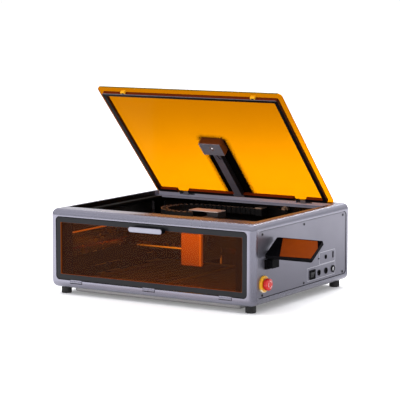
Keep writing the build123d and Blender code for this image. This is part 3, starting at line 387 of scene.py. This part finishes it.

# front door: black, with painted amber light, faintly glowing, on its inner and outer edges
WINDOW_OPENING = ((-0.2518, None, 0.0448), (0.2518, None, 0.1702))
DOOR_X, DOOR_LOW, DOOR_HIGH = 0.2640, 0.0315, 0.1830
p = satin_black("door")
lit = p.either(
    p.within(*WINDOW_OPENING),
    p.within((DOOR_X, None, None), ALL),
    p.within(ALL, (-DOOR_X, None, None)),
    p.within((None, None, DOOR_HIGH), ALL),
    p.within(ALL, (None, None, DOOR_LOW)),
)
p.tint(lit, (0.150, 0.036, 0.004))
p.glow(lit, (0.060, 0.012, 0.001))

satin_black("black_gloss")

p = make("silver_plate", (0.28, 0.28, 0.335), metallic=0.8, rough=0.34)
p.grain(1600.0, 0.00002, color_var=0.10, rough_var=0.05, blotch=30.0, stretch=(0.06, 1, 1))

p = make("rubber", (0.014, 0.014, 0.014), rough=0.72)
p.grain(1500.0, 0.00008, color_var=0.3, rough_var=0.1, blotch=40.0)

p = make("belt", (0.012, 0.012, 0.013), rough=0.6)
p.grain(1600.0, 0.00003, color_var=0.3, rough_var=0.08, blotch=40.0)
tooth = p.add("ShaderNodeTexWave", wave_type="BANDS", bands_direction="X")
tooth.inputs["Scale"].default_value = 80.0
p.link(p.point((1, 1, 0)), tooth.inputs["Vector"])
p.bump(tooth.outputs["Fac"], 0.0003)

p = make("red_plastic", (0.60, 0.012, 0.010), rough=0.26, coat=0.3, coat_rough=0.08)
p.grain(1200.0, 0.00002, color_var=0.15, rough_var=0.05, blotch=35.0)

# stop button's collar: yellow, with a painted pale highlight on its lower rim
RIM_R, RIM_TOP = 0.0178, 0.0500
p = make("collar", (0.80, 0.40, 0.012), rough=0.34)
p.grain(1400.0, 0.00003, color_var=0.10, rough_var=0.05, blotch=35.0)
spread = p.add("ShaderNodeVectorMath", operation="DISTANCE")
p.link(p.point((0, 1, 1)), spread.inputs[0])
spread.inputs[1].default_value = (0.0, STOP_Y, STOP_Z)
low_rim = p.math("LESS_THAN", p.along((0, 0, 1)), RIM_TOP)
outer_rim = p.math("GREATER_THAN", spread.outputs["Value"], RIM_R)
p.tint(p.math("MULTIPLY", low_rim, outer_rim), (0.80, 0.66, 0.42))

p = make("chrome", (0.70, 0.70, 0.72), metallic=1.0, rough=0.10)
p.grain(1500.0, 0.000004, color_var=0.06, rough_var=0.04, blotch=60.0)

p = make("brass", (0.62, 0.42, 0.16), metallic=1.0, rough=0.24)
p.grain(1800.0, 0.00001, color_var=0.15, rough_var=0.06, blotch=60.0, stretch=(1, 1, 0.05))

# control board: green with tracks, and black chips standing in front of it
CHIP_FRONT_Y = 0.2222
p = make("board", (0.008, 0.075, 0.035), rough=0.34)
p.grain(900.0, 0.00002, color_var=0.3, rough_var=0.08, blotch=60.0)
tracks = p.add("ShaderNodeTexVoronoi", distance="MANHATTAN", feature="DISTANCE_TO_EDGE")
tracks.inputs["Scale"].default_value = 260.0
p.link(p.point((1, 0, 1)), tracks.inputs["Vector"])
p.tint(p.span(tracks.outputs["Distance"], 0.02, 0.06, 0.6, 0.0), (0.02, 0.18, 0.08))
p.tint(p.math("LESS_THAN", p.along((0, 1, 0)), CHIP_FRONT_Y), (0.015, 0.015, 0.016))

# display glass, faintly smeared
p = make("screen", (0.0012, 0.0012, 0.0016), ior=1.04)
smear = p.noise(60.0, 4.0, 0.6, stretch=(1, 0.4, 1))
p.link(p.span(smear, 0.35, 0.7, 0.05, 0.14), p.bsdf.inputs["Roughness"])
p.tint(p.span(smear, 0.4, 0.8, 0.0, 0.3), (0.004, 0.004, 0.005))

# camera lens: dark glass with a soft ring and a painted highlight in its middle
LENS_RING_R, LENS_GLINT_R = 0.0052, 0.0022
p = make("lens", (0.110, 0.108, 0.135), rough=0.08, coat=0.6, coat_rough=0.01, ior=1.5)
rings = p.noise(500.0, 2.0, 0.5)
p.tint(p.span(rings, 0.4, 0.7, 0.0, 0.5), (0.03, 0.008, 0.04))
aside = p.along((1, 0, 0), (LENS_X, 0.0, 0.0))
outward = p.math("SUBTRACT", p.along(LID_U, HINGE), LENS_U)
squares = p.math("ADD", p.math("MULTIPLY", aside, aside), p.math("MULTIPLY", outward, outward))
from_middle = p.math("SQRT", squares)
p.tint(p.math("GREATER_THAN", from_middle, LENS_RING_R), (0.21, 0.15, 0.13))
p.tint(p.math("LESS_THAN", from_middle, LENS_GLINT_R), (0.80, 0.80, 0.86))

# lid: a clear amber sheet, with painted shade deepening it towards its free edge, and darkest at its cut
# edges
LID_SIDE_X, LID_FREE_U = 0.2576, 0.3984
p = make("amber_acrylic", (0.51, 0.176, 0.0002), ior=1.04)
p.clear((0.78, 0.39, 0.02))
hazy(p, 5.0, (0.51, 0.176, 0.0002), (0.48, 0.164, 0.0002))
u = p.along(LID_U, HINGE)
side = p.either(p.within((LID_SIDE_X, None, None), ALL), p.within(ALL, (-LID_SIDE_X, None, None)))
p.tint(p.span(u, 0.22, 0.399, 0.0, 0.5), (0.42, 0.118, 0.0002))
p.tint(side, (0.16, 0.030, 0.001))
p.tint(p.math("GREATER_THAN", u, LID_FREE_U), (0.030, 0.034, 0.050))
scuff = p.noise(700.0, 2.0, 0.5, stretch=(1, 0.02, 0.02))
p.link(p.span(scuff, 0.6, 0.75, 0.015, 0.06), p.bsdf.inputs["Roughness"])

# window: a clear amber sheet; a faint glow in it is painted light, standing in for its reflection
p = make("amber_window", (0.52, 0.165, 0.008), rough=0.0, ior=1.10)
p.clear((0.70, 0.40, 0.09))
hazy(p, 6.0, (0.52, 0.165, 0.008), (0.47, 0.15, 0.007))
p.set("Emission Color", (0.014, 0.0045, 0.002, 1.0))
p.set("Emission Strength", 1.0)
p.mat.cycles.emission_sampling = "NONE"
scuff = p.noise(800.0, 2.0, 0.5, stretch=(0.02, 1, 0.02))
p.tint(p.span(scuff, 0.6, 0.75, 0.0, 0.04), (0.70, 0.26, 0.03))

# laser head's shield: deeper at its foot, with a painted highlight on its right edge
SHIELD_RIGHT_X = 0.0140
p = make("orange_shield", (0.37, 0.155, 0.003), rough=0.20, ior=1.25)
p.grain(500.0, 0.0, color_var=0.03, rough_var=0.04, blotch=20.0)
foot = p.span(p.along((0, 0, 1)), 0.060, 0.120, 1.0, 0.0)
p.tint(p.math("MULTIPLY", foot, 0.55), (0.19, 0.072, 0.002))
p.tint(p.within((SHIELD_RIGHT_X, None, None), ALL), (0.50, 0.25, 0.004))

# lid gasket: dark foam, with painted amber reflections on its faces turned along the lid and to the right, a
# painted pale highlight strip under its free edge, and two amber magnet covers there
STRIP_N, STRIP_U = -0.0112, (0.3828, 0.3852)
COVER_HALF, COVER_HOLE, COVER_START_U, COVER_END_U = 0.0062, 0.0038, 0.3853, 0.3890
p = make("gasket", (0.0035, 0.0035, 0.0045), rough=0.60, ior=1.15)
p.grain(1500.0, 0.00003, color_var=0.3, rough_var=0.1, blotch=30.0)
p.tint(p.facing(LID_U, 0.7), (0.100, 0.014, 0.002))
p.tint(p.facing((1, 0, 0), 0.7), (0.030, 0.006, 0.001))
u = p.along(LID_U, HINGE)
low_face = p.math("LESS_THAN", p.along(LID_N, HINGE), STRIP_N)
p.tint(p.math("MULTIPLY", low_face, p.within_span(u, *STRIP_U)), (0.120, 0.110, 0.125))
off = p.math("ABSOLUTE", p.math("SUBTRACT", p.math("ABSOLUTE", p.along((1, 0, 0))), MAGNET_X))
cover = p.either(p.within_span(off, COVER_HOLE, COVER_HALF), p.math("GREATER_THAN", u, COVER_END_U))
cover = p.math("MULTIPLY", cover, p.math("LESS_THAN", off, COVER_HALF))
p.tint(p.math("MULTIPLY", cover, p.math("GREATER_THAN", u, COVER_START_U)), (0.75, 0.36, 0.01))

p = make("print_black", (0.0012, 0.0011, 0.0010), rough=0.50, ior=1.08)
p.grain(2200.0, 0.0, color_var=0.25, rough_var=0.08, blotch=30.0)

p = make("mark_white", (0.70, 0.68, 0.66), rough=0.4)
p.grain(1500.0, 0.0, color_var=0.15, rough_var=0.06, blotch=60.0)

p = make("outline", (0.60, 0.60, 0.66), metallic=0.5, rough=0.4)
p.grain(2500.0, 0.0, color_var=0.12, rough_var=0.06, blotch=40.0)

p = make("panel_glow", (0.165, 0.026, 0.0007), rough=0.30, ior=1.10)
hazy(p, 30.0, (0.165, 0.026, 0.0007), (0.140, 0.022, 0.0006), rough=0.55)

USES = {
    "casing": ("shell",),
    "case_metal": ("door_knuckles",),
    "hinge_metal": ("lid_hinge_blocks",),
    "recess": ("recess_frame",),
    "vent": ("exhaust_housing",),
    "chain": ("chain_rear_run",),
    "door": ("door_frame",),
    "carriage": ("head_carriage",),
    "collar": ("stop_collar",),
    "bed": ("work_bed",),
    "panel_metal": ("side_panel_left", "side_panel_right", "rear_panel"),
    "tray_metal": ("base_tray",),
    "dark_metal": (
        "case_screws", "lid_hinge_barrels", "y_motor", "x_motor", "gantry_beam", "head_body",
    ),
    "cover": ("gantry_cover",),
    "rail": ("y_rails",),
    "rubber": ("feet", "display_knob"),
    "black_gloss": ("power_rocker",),
    "black_plastic": (
        "door_handle", "gantry_carriages", "head_fan", "head_fan_guard", "exhaust_rotor", "exhaust_collar",
        "power_bezel", "stop_stem", "panel_ports", "start_button", "display_housing", "display_bracket",
    ),
    "amber_window": ("door_window",),
    "silver_plate": ("handle_plate",),
    "steel": ("case_pins", "y_idlers", "drive_shaft", "x_idler", "x_drive_pulley"),
    "x_rail": ("x_rail",),
    "amber_acrylic": ("lid_plate",),
    "gasket": ("lid_gasket",),
    "arm_metal": ("camera_arm",),
    "camera_case": ("camera_housing",),
    "lens": ("camera_lens",),
    "belt": ("y_belts", "x_belt"),
    "orange_shield": ("head_shield",),
    "brass": ("head_nozzle",),
    "board": ("control_board",),
    "red_plastic": ("stop_cap",),
    "chrome": ("key_lock_barrel",),
    "screen": ("display_screen",),
}
for material, names in USES.items():
    for n in names:
        nodes[n].data.materials.clear()
        nodes[n].data.materials.append(M[material].mat)

# ---------------------------------------------------------------- geometry helpers


def mesh_piece(name, verts, faces, material, body):
    me = bpy.data.meshes.new(name)
    me.from_pydata([tuple(v) for v in verts], [], faces)
    bm = bmesh.new()
    bm.from_mesh(me)
    bmesh.ops.recalc_face_normals(bm, faces=bm.faces)
    bm.to_mesh(me)
    bm.free()
    me.materials.append(M[material].mat)
    o = bpy.data.objects.new(name, me)
    bpy.context.scene.collection.objects.link(o)
    if body:
        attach(o, body)
    return o


def to_space(origin, x_dir, y_dir, n_dir):
    o, x, y, n = (Vector(v) for v in (origin, x_dir, y_dir, n_dir))
    return lambda a, b, c=0.0: o + x * a + y * b + n * c


class Solid:
    """Collects closed prisms: each is an outline in a plane, raised from h0 to h1."""

    def __init__(self, place):
        self.place, self.verts, self.faces = place, [], []

    def prism(self, outline, h0, h1):
        n, base = len(outline), len(self.verts)
        for h in (h0, h1):
            self.verts += [self.place(a, b, h) for a, b in outline]
        self.faces += [tuple(base + i for i in range(n)), tuple(base + n + i for i in reversed(range(n)))]
        self.faces += [(base + i, base + (i + 1) % n, base + n + (i + 1) % n, base + n + i) for i in range(n)]

    def band(self, outer, inner, h0, h1, closed=True):
        """A ribbon between two outlines with the same number of points."""
        n, base = len(outer), len(self.verts)
        for h in (h0, h1):
            for line in (outer, inner):
                self.verts += [self.place(a, b, h) for a, b in line]
        o0, i0, o1, i1 = base, base + n, base + 2 * n, base + 3 * n
        for k in range(n if closed else n - 1):
            j = (k + 1) % n
            self.faces += [
                (o1 + k, o1 + j, i1 + j, i1 + k), (o0 + j, o0 + k, i0 + k, i0 + j),
                (o0 + k, o0 + j, o1 + j, o1 + k), (i0 + j, i0 + k, i1 + k, i1 + j),
            ]
        if not closed:
            for k in (0, n - 1):
                self.faces.append((o0 + k, o1 + k, i1 + k, i0 + k))


def rounded(x0, x1, y0, y1, r, steps=6):
    """Rounded rectangle as a list of points; r is one radius or four, from (x1, y1) anticlockwise."""
    rs = r if isinstance(r, (list, tuple)) else (r,) * 4
    points = []
    for i, (cx, cy) in enumerate(((x1, y1), (x0, y1), (x0, y0), (x1, y0))):
        q = max(rs[i], 1e-6)
        ox, oy = cx - q * (1 if cx == x1 else -1), cy - q * (1 if cy == y1 else -1)
        for k in range(steps + 1):
            t = math.radians(90 * i + 90 * k / steps)
            points.append((ox + q * math.cos(t), oy + q * math.sin(t)))
    return points


def on_circle(r, degrees, cx=0.0, cy=0.0):
    t = math.radians(degrees)
    return (cx + r * math.cos(t), cy + r * math.sin(t))


# ---------------------------------------------------------------- printed band on the lid
lid_space = to_space(HINGE, (1, 0, 0), LID_U, LID_N)
UNDER = -0.0030
INK = 0.00012
# the ink reaches a little into the sheet, so that from behind it covers the arm's foot too
INK_TOP = UNDER + 0.00006
BAND_X, BAND_START, BAND_END, BAND_R = 0.036, 0.008, 0.2285, 0.012
band = Solid(lid_space)
band_outline = rounded(-BAND_X, BAND_X, BAND_START, BAND_END, (BAND_R, BAND_R, 0.001, 0.001))
band.prism(band_outline, UNDER - INK, INK_TOP)

# rows of dots that fade out round it
ROWS, ROW_STEP, DOT_STEP, FIRST_ROW, FIRST_DOT_U = 6, 0.0020, 0.0023, 0.0012, 0.022
DOT_R, DOT_SHRINK, DOT_SIDES = 0.00098, 0.00013, 8
CORNER_X, CORNER_U = BAND_X - BAND_R, BAND_END - BAND_R
for row in range(ROWS):
    off = FIRST_ROW + ROW_STEP * row
    shift = 0.5 * DOT_STEP * (row % 2)
    spots = []
    for k in range(int((CORNER_U - FIRST_DOT_U) / DOT_STEP)):
        spots += [(side_x * (BAND_X + off), FIRST_DOT_U + shift + k * DOT_STEP) for side_x in (-1, 1)]
    for k in range(int(2 * CORNER_X / DOT_STEP) + 1):
        spots.append((-CORNER_X + shift + k * DOT_STEP, BAND_END + off))
    arc = BAND_R + off
    turns = int(arc * math.pi / 2 / DOT_STEP)
    for k in range(turns + 1):
        x, y = on_circle(arc, 90 * (k + 0.5 * (row % 2)) / (turns + 1), CORNER_X, CORNER_U)
        spots += [(-x, y), (x, y)]
    for cx, cu in spots:
        dot = [on_circle(DOT_R - DOT_SHRINK * row, 360 * i / DOT_SIDES, cx, cu) for i in range(DOT_SIDES)]
        band.prism(dot, UNDER - INK, INK_TOP)
mesh_piece("lid_print", band.verts, band.faces, "print_black", "lid")

# camera lead: a straight run down the arm's face and a short hook at its end
ARM_FACE, LEAD_T = -0.0170, 0.0010
LEAD_RUN = [(0.0000, 0.1810), (0.0015, 0.1812), (0.0058, 0.1656), (0.0043, 0.1650)]
LEAD_HOOK = [(0.0043, 0.1650), (0.0058, 0.1664), (0.0090, 0.1664), (0.0090, 0.1648)]
lead = Solid(lid_space)
for outline in (LEAD_RUN, LEAD_HOOK):
    lead.prism(outline, ARM_FACE - LEAD_T, ARM_FACE + 0.0002)
mesh_piece("camera_lead", lead.verts, lead.faces, "print_black", "lid")

# clip at the arm's foot
clip = Solid(lid_space)
clip.prism(rounded(-0.018, 0.012, 0.0145, 0.0222, 0.001, 3), -0.0130, -0.0110)
mesh_piece("arm_foot_clip", clip.verts, clip.faces, "arm_metal", "lid")

# ---------------------------------------------------------------- outlines round the sockets, right panel
panel_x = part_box("side_panel_right")[1][0]
side_space = to_space((panel_x, 0, 0), (0, 1, 0), (0, 0, 1), (1, 0, 0))
LINE, LINE_R = 0.0008, 0.003
LOWER_ROW = (0.0168, 0.1610, 0.0355, 0.0668)
UPPER_ROW = (0.0790, 0.1610, 0.0676, 0.0970)
lines = Solid(side_space)
for y0, y1, z0, z1 in (LOWER_ROW, UPPER_ROW):
    inner = rounded(y0 + LINE, y1 - LINE, z0 + LINE, z1 - LINE, LINE_R - LINE)
    lines.band(rounded(y0, y1, z0, z1, LINE_R), inner, -0.0001, INK)
mesh_piece("panel_outline", lines.verts, lines.faces, "outline", "chassis")

# ---------------------------------------------------------------- lit area of the display
DISPLAY_TILT = math.radians(31)
DISPLAY_MIDDLE = (0.3475, -0.1705, 0.14475)
display_up = (0, math.cos(DISPLAY_TILT), math.sin(DISPLAY_TILT))
display_out = (0, -math.sin(DISPLAY_TILT), math.cos(DISPLAY_TILT))
face_space = to_space(DISPLAY_MIDDLE, (1, 0, 0), display_up, display_out)
LIT_AREA = [(-0.0435, 0.0323), (0.0455, 0.0323), (0.0575, 0.0075), (0.0569, -0.0295), (-0.0215, -0.0315)]
glass = Solid(face_space)
glass.prism(LIT_AREA, -0.00005, 0.00008)
mesh_piece("display_picture", glass.verts, glass.faces, "panel_glow", "display")

# ---------------------------------------------------------------- turning arrows on the stop button
ARROW_R, ARROW_LINE, HEAD_HALF = 0.0080, 0.0006, 0.0018
cap_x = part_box("stop_cap")[1][0]
cap_space = to_space((cap_x, STOP_Y, STOP_Z), (0, 1, 0), (0, 0, 1), (1, 0, 0))
marks = Solid(cap_space)
for start in (20, 140, 260):
    sweep = range(start, start + 61, 6)
    outer = [on_circle(ARROW_R + ARROW_LINE, t) for t in sweep]
    inner = [on_circle(ARROW_R - ARROW_LINE, t) for t in sweep]
    marks.band(outer, inner, -0.0001, INK, closed=False)
    back, tip = start + 58, start + 78
    head = [on_circle(ARROW_R, tip)]
    head += [on_circle(ARROW_R + side, back) for side in (HEAD_HALF, -HEAD_HALF)]
    marks.prism(head, -0.0001, INK)
mesh_piece("stop_arrows", marks.verts, marks.faces, "mark_white", "stop_mushroom")

# ---------------------------------------------------------------- drag chain
LINK_Z0, LINK_Z1 = 0.158, 0.174
LOOP = Vector((-0.105, 0.133, 0.0))
LOOP_R, LINK_W, LINK_PITCH = 0.075, 0.016, 0.014
PLATE_T, PLATE_R, BOSS_R, BOSS_OUT = 0.0022, 0.0035, 0.0026, 0.0003
BAR_T, BAR_IN = 0.0018, 0.0004


def add_link(verts, faces, angle, half_len):
    """One link of the chain: two side plates with pivot bosses, and two cross bars."""
    out = Vector((math.cos(angle), math.sin(angle), 0))
    along = Vector((-math.sin(angle), math.cos(angle), 0))
    centre = LOOP + out * LOOP_R
    half_h, half_w = (LINK_Z1 - LINK_Z0) / 2, LINK_W / 2
    link = Solid(to_space(centre + Vector((0, 0, LINK_Z0 + half_h)), along, (0, 0, 1), out))
    for sign in (-1, 1):
        w0, w1 = sorted((sign * (half_w - PLATE_T), sign * half_w))
        # the outer plate runs on a larger radius than the inner one, and is longer
        reach = half_len * (1 + sign * half_w / LOOP_R)
        link.prism(rounded(-reach, reach, -half_h, half_h, PLATE_R, 4), w0, w1)
        boss0, boss1 = sorted((sign * (half_w - 0.0006), sign * half_w))
        boss = [on_circle(BOSS_R, 30 * i, half_len * 0.55) for i in range(12)]
        link.prism(boss, boss0, boss1 + (BOSS_OUT if sign > 0 else 0.0))
    bars = Solid(to_space(centre, along, out, (0, 0, 1)))
    bar = rounded(-half_len * 0.55, half_len * 0.35, 0.001 - half_w, half_w - 0.001, 0.0006, 2)
    for z0 in (LINK_Z0 + BAR_IN, LINK_Z1 - BAR_IN - BAR_T):
        bars.prism(bar, z0, z0 + BAR_T)
    for part in (link, bars):
        base = len(verts)
        verts += part.verts
        faces += [tuple(base + i for i in f) for f in part.faces]


def chain_piece(name, start_deg, end_deg):
    """Links of the chain along an arc of its loop."""
    verts, faces = [], []
    count = round((end_deg - start_deg) / math.degrees(LINK_PITCH / LOOP_R))
    pitch = math.radians(end_deg - start_deg) / count
    for k in range(count):
        add_link(verts, faces, math.radians(start_deg) + (k + 0.5) * pitch, LOOP_R * pitch / 2 * 0.97)
    piece = mesh_piece(name, verts, faces, "chain", None)
    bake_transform(piece)
    return piece


turn = chain_piece("chain_turn_links", 90, 225)
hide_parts("chain_turn")
front = chain_piece("chain_front_links", 225, 300)
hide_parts("chain_front_run")

# ---------------------------------------------------------------- floor
FLOOR_Z, FLOOR_HALF = -0.006, 30
corners = [(x * FLOOR_HALF, y * FLOOR_HALF, FLOOR_Z) for x, y in ((-1, -1), (1, -1), (1, 1), (-1, 1))]
floor_mesh = bpy.data.meshes.new("floor")
floor_mesh.from_pydata(corners, [], [(0, 1, 2, 3)])
floor = bpy.data.objects.new("floor", floor_mesh)
bpy.context.scene.collection.objects.link(floor)

# mirrored in the casing, the floor is darker at the right and lighter in front
p = Paint("floor", (0.86, 0.86, 0.86), rough=0.6)
away = p.add("ShaderNodeVectorMath", operation="LENGTH")
p.link(p.coord.outputs["Object"], away.inputs[0])
distance = away.outputs["Value"]
path = p.add("ShaderNodeLightPath")
mirrored = path.outputs["Is Glossy Ray"]
floor_x, floor_y = p.along((1, 0, 0)), p.along((0, 1, 0))
near_right = p.math("MULTIPLY", p.span(floor_x, 0.20, 0.40, 0.0, 1.0), p.span(distance, 0.45, 1.60, 1.0, 0.0))
p.tint(p.math("MULTIPLY", near_right, mirrored), (0.10, 0.10, 0.11))
in_front = p.math("MULTIPLY", p.span(floor_y, -0.45, -0.25, 1.0, 0.0), p.span(floor_x, 0.1, 0.3, 1.0, 0.0))
fill = p.math("MULTIPLY", p.math("SUBTRACT", 1.0, path.outputs["Is Transmission Ray"]), 0.22)
far_off = p.span(distance, 1.5, 5.0, 0.0, 0.3)
p.glow(p.either(far_off, fill, p.math("MULTIPLY", in_front, mirrored)), (1.0, 1.0, 1.0), 0.8, spill=True)
floor_mesh.materials.append(p.mat)

# ---------------------------------------------------------------- camera
CAMERA_PLACE = (2.321117, -3.817237, 0.769140)
CAMERA_RIGHT = Vector((0.85383, 0.52055, 0.00090))
CAMERA_UP = Vector((-0.06490, 0.10473, 0.99238))
CAMERA_FORWARD = Vector((-0.51649, 0.84738, -0.12321))
lens = bpy.data.cameras.new("camera")
lens.lens = 166.39
lens.clip_end = 100
camera = bpy.data.objects.new("camera", lens)
turned = Matrix((CAMERA_RIGHT, CAMERA_UP, -CAMERA_FORWARD)).transposed().to_4x4()
camera.matrix_world = Matrix.Translation(CAMERA_PLACE) @ turned
bpy.context.scene.collection.objects.link(camera)
bpy.context.scene.camera = camera

# ---------------------------------------------------------------- light


def area(name, place, aim, size, power, color=(1, 1, 1), mirrored=True):
    light = bpy.data.lights.new(name, "AREA")
    light.shape = "RECTANGLE"
    light.size, light.size_y = size
    light.energy = power
    light.color = color
    o = bpy.data.objects.new(name, light)
    o.location = place
    o.rotation_euler = (Vector(aim) - Vector(place)).to_track_quat("-Z", "Y").to_euler()
    o.visible_camera = False
    o.visible_transmission = False
    o.visible_glossy = mirrored
    bpy.context.scene.collection.objects.link(o)


WARM = (1.0, 0.90, 0.78)
area("back", (-0.6, 2.3, 2.6), (-0.3, 1.7, 0.0), (2.4, 2.0), 150)
area("key", (-2.4, -1.2, 2.2), (-0.3, -0.2, 0.0), (1.0, 1.6), 45, mirrored=False)
area("inside", (0.02, -0.206, 0.150), (0.02, 0.06, 0.03), (0.42, 0.012), 1.2, WARM, mirrored=False)

# ---------------------------------------------------------------- surroundings
# soft grey bands from the horizon up for light and reflections; plain white where seen directly
BANDS = ((0.0, 0.50), (0.10, 0.38), (0.28, 0.42), (0.45, 0.60), (0.65, 0.50), (0.82, 0.50), (0.95, 0.95))
BANDS_STRENGTH, WHITE_STRENGTH = 2.1, 1.02
world = bpy.data.worlds.new("studio")
world.use_nodes = True
wn = world.node_tree.nodes
wl = world.node_tree.links
coord = wn.new("ShaderNodeTexCoord")
sep = wn.new("ShaderNodeSeparateXYZ")
ramp = wn.new("ShaderNodeValToRGB")
wl.new(coord.outputs["Generated"], sep.inputs[0])
wl.new(sep.outputs["Z"], ramp.inputs[0])
while len(ramp.color_ramp.elements) < len(BANDS):
    ramp.color_ramp.elements.new(0.5)
for element, (at, value) in zip(ramp.color_ramp.elements, BANDS):
    element.position = at
    element.color = (value, value, value * 1.03, 1)
soft = wn["Background"]
wl.new(ramp.outputs["Color"], soft.inputs["Color"])
soft.inputs["Strength"].default_value = BANDS_STRENGTH
plain = wn.new("ShaderNodeBackground")
plain.inputs["Color"].default_value = (1, 1, 1, 1)
plain.inputs["Strength"].default_value = WHITE_STRENGTH
path = wn.new("ShaderNodeLightPath")
seen = wn.new("ShaderNodeMath")
seen.operation = "MAXIMUM"
wl.new(path.outputs["Is Camera Ray"], seen.inputs[0])
wl.new(path.outputs["Is Transmission Ray"], seen.inputs[1])
choose = wn.new("ShaderNodeMixShader")
wl.new(seen.outputs[0], choose.inputs[0])
wl.new(soft.outputs[0], choose.inputs[1])
wl.new(plain.outputs[0], choose.inputs[2])
wl.new(choose.outputs[0], wn["World Output"].inputs["Surface"])
bpy.context.scene.world = world
bpy.context.scene.view_settings.view_transform = "Standard"
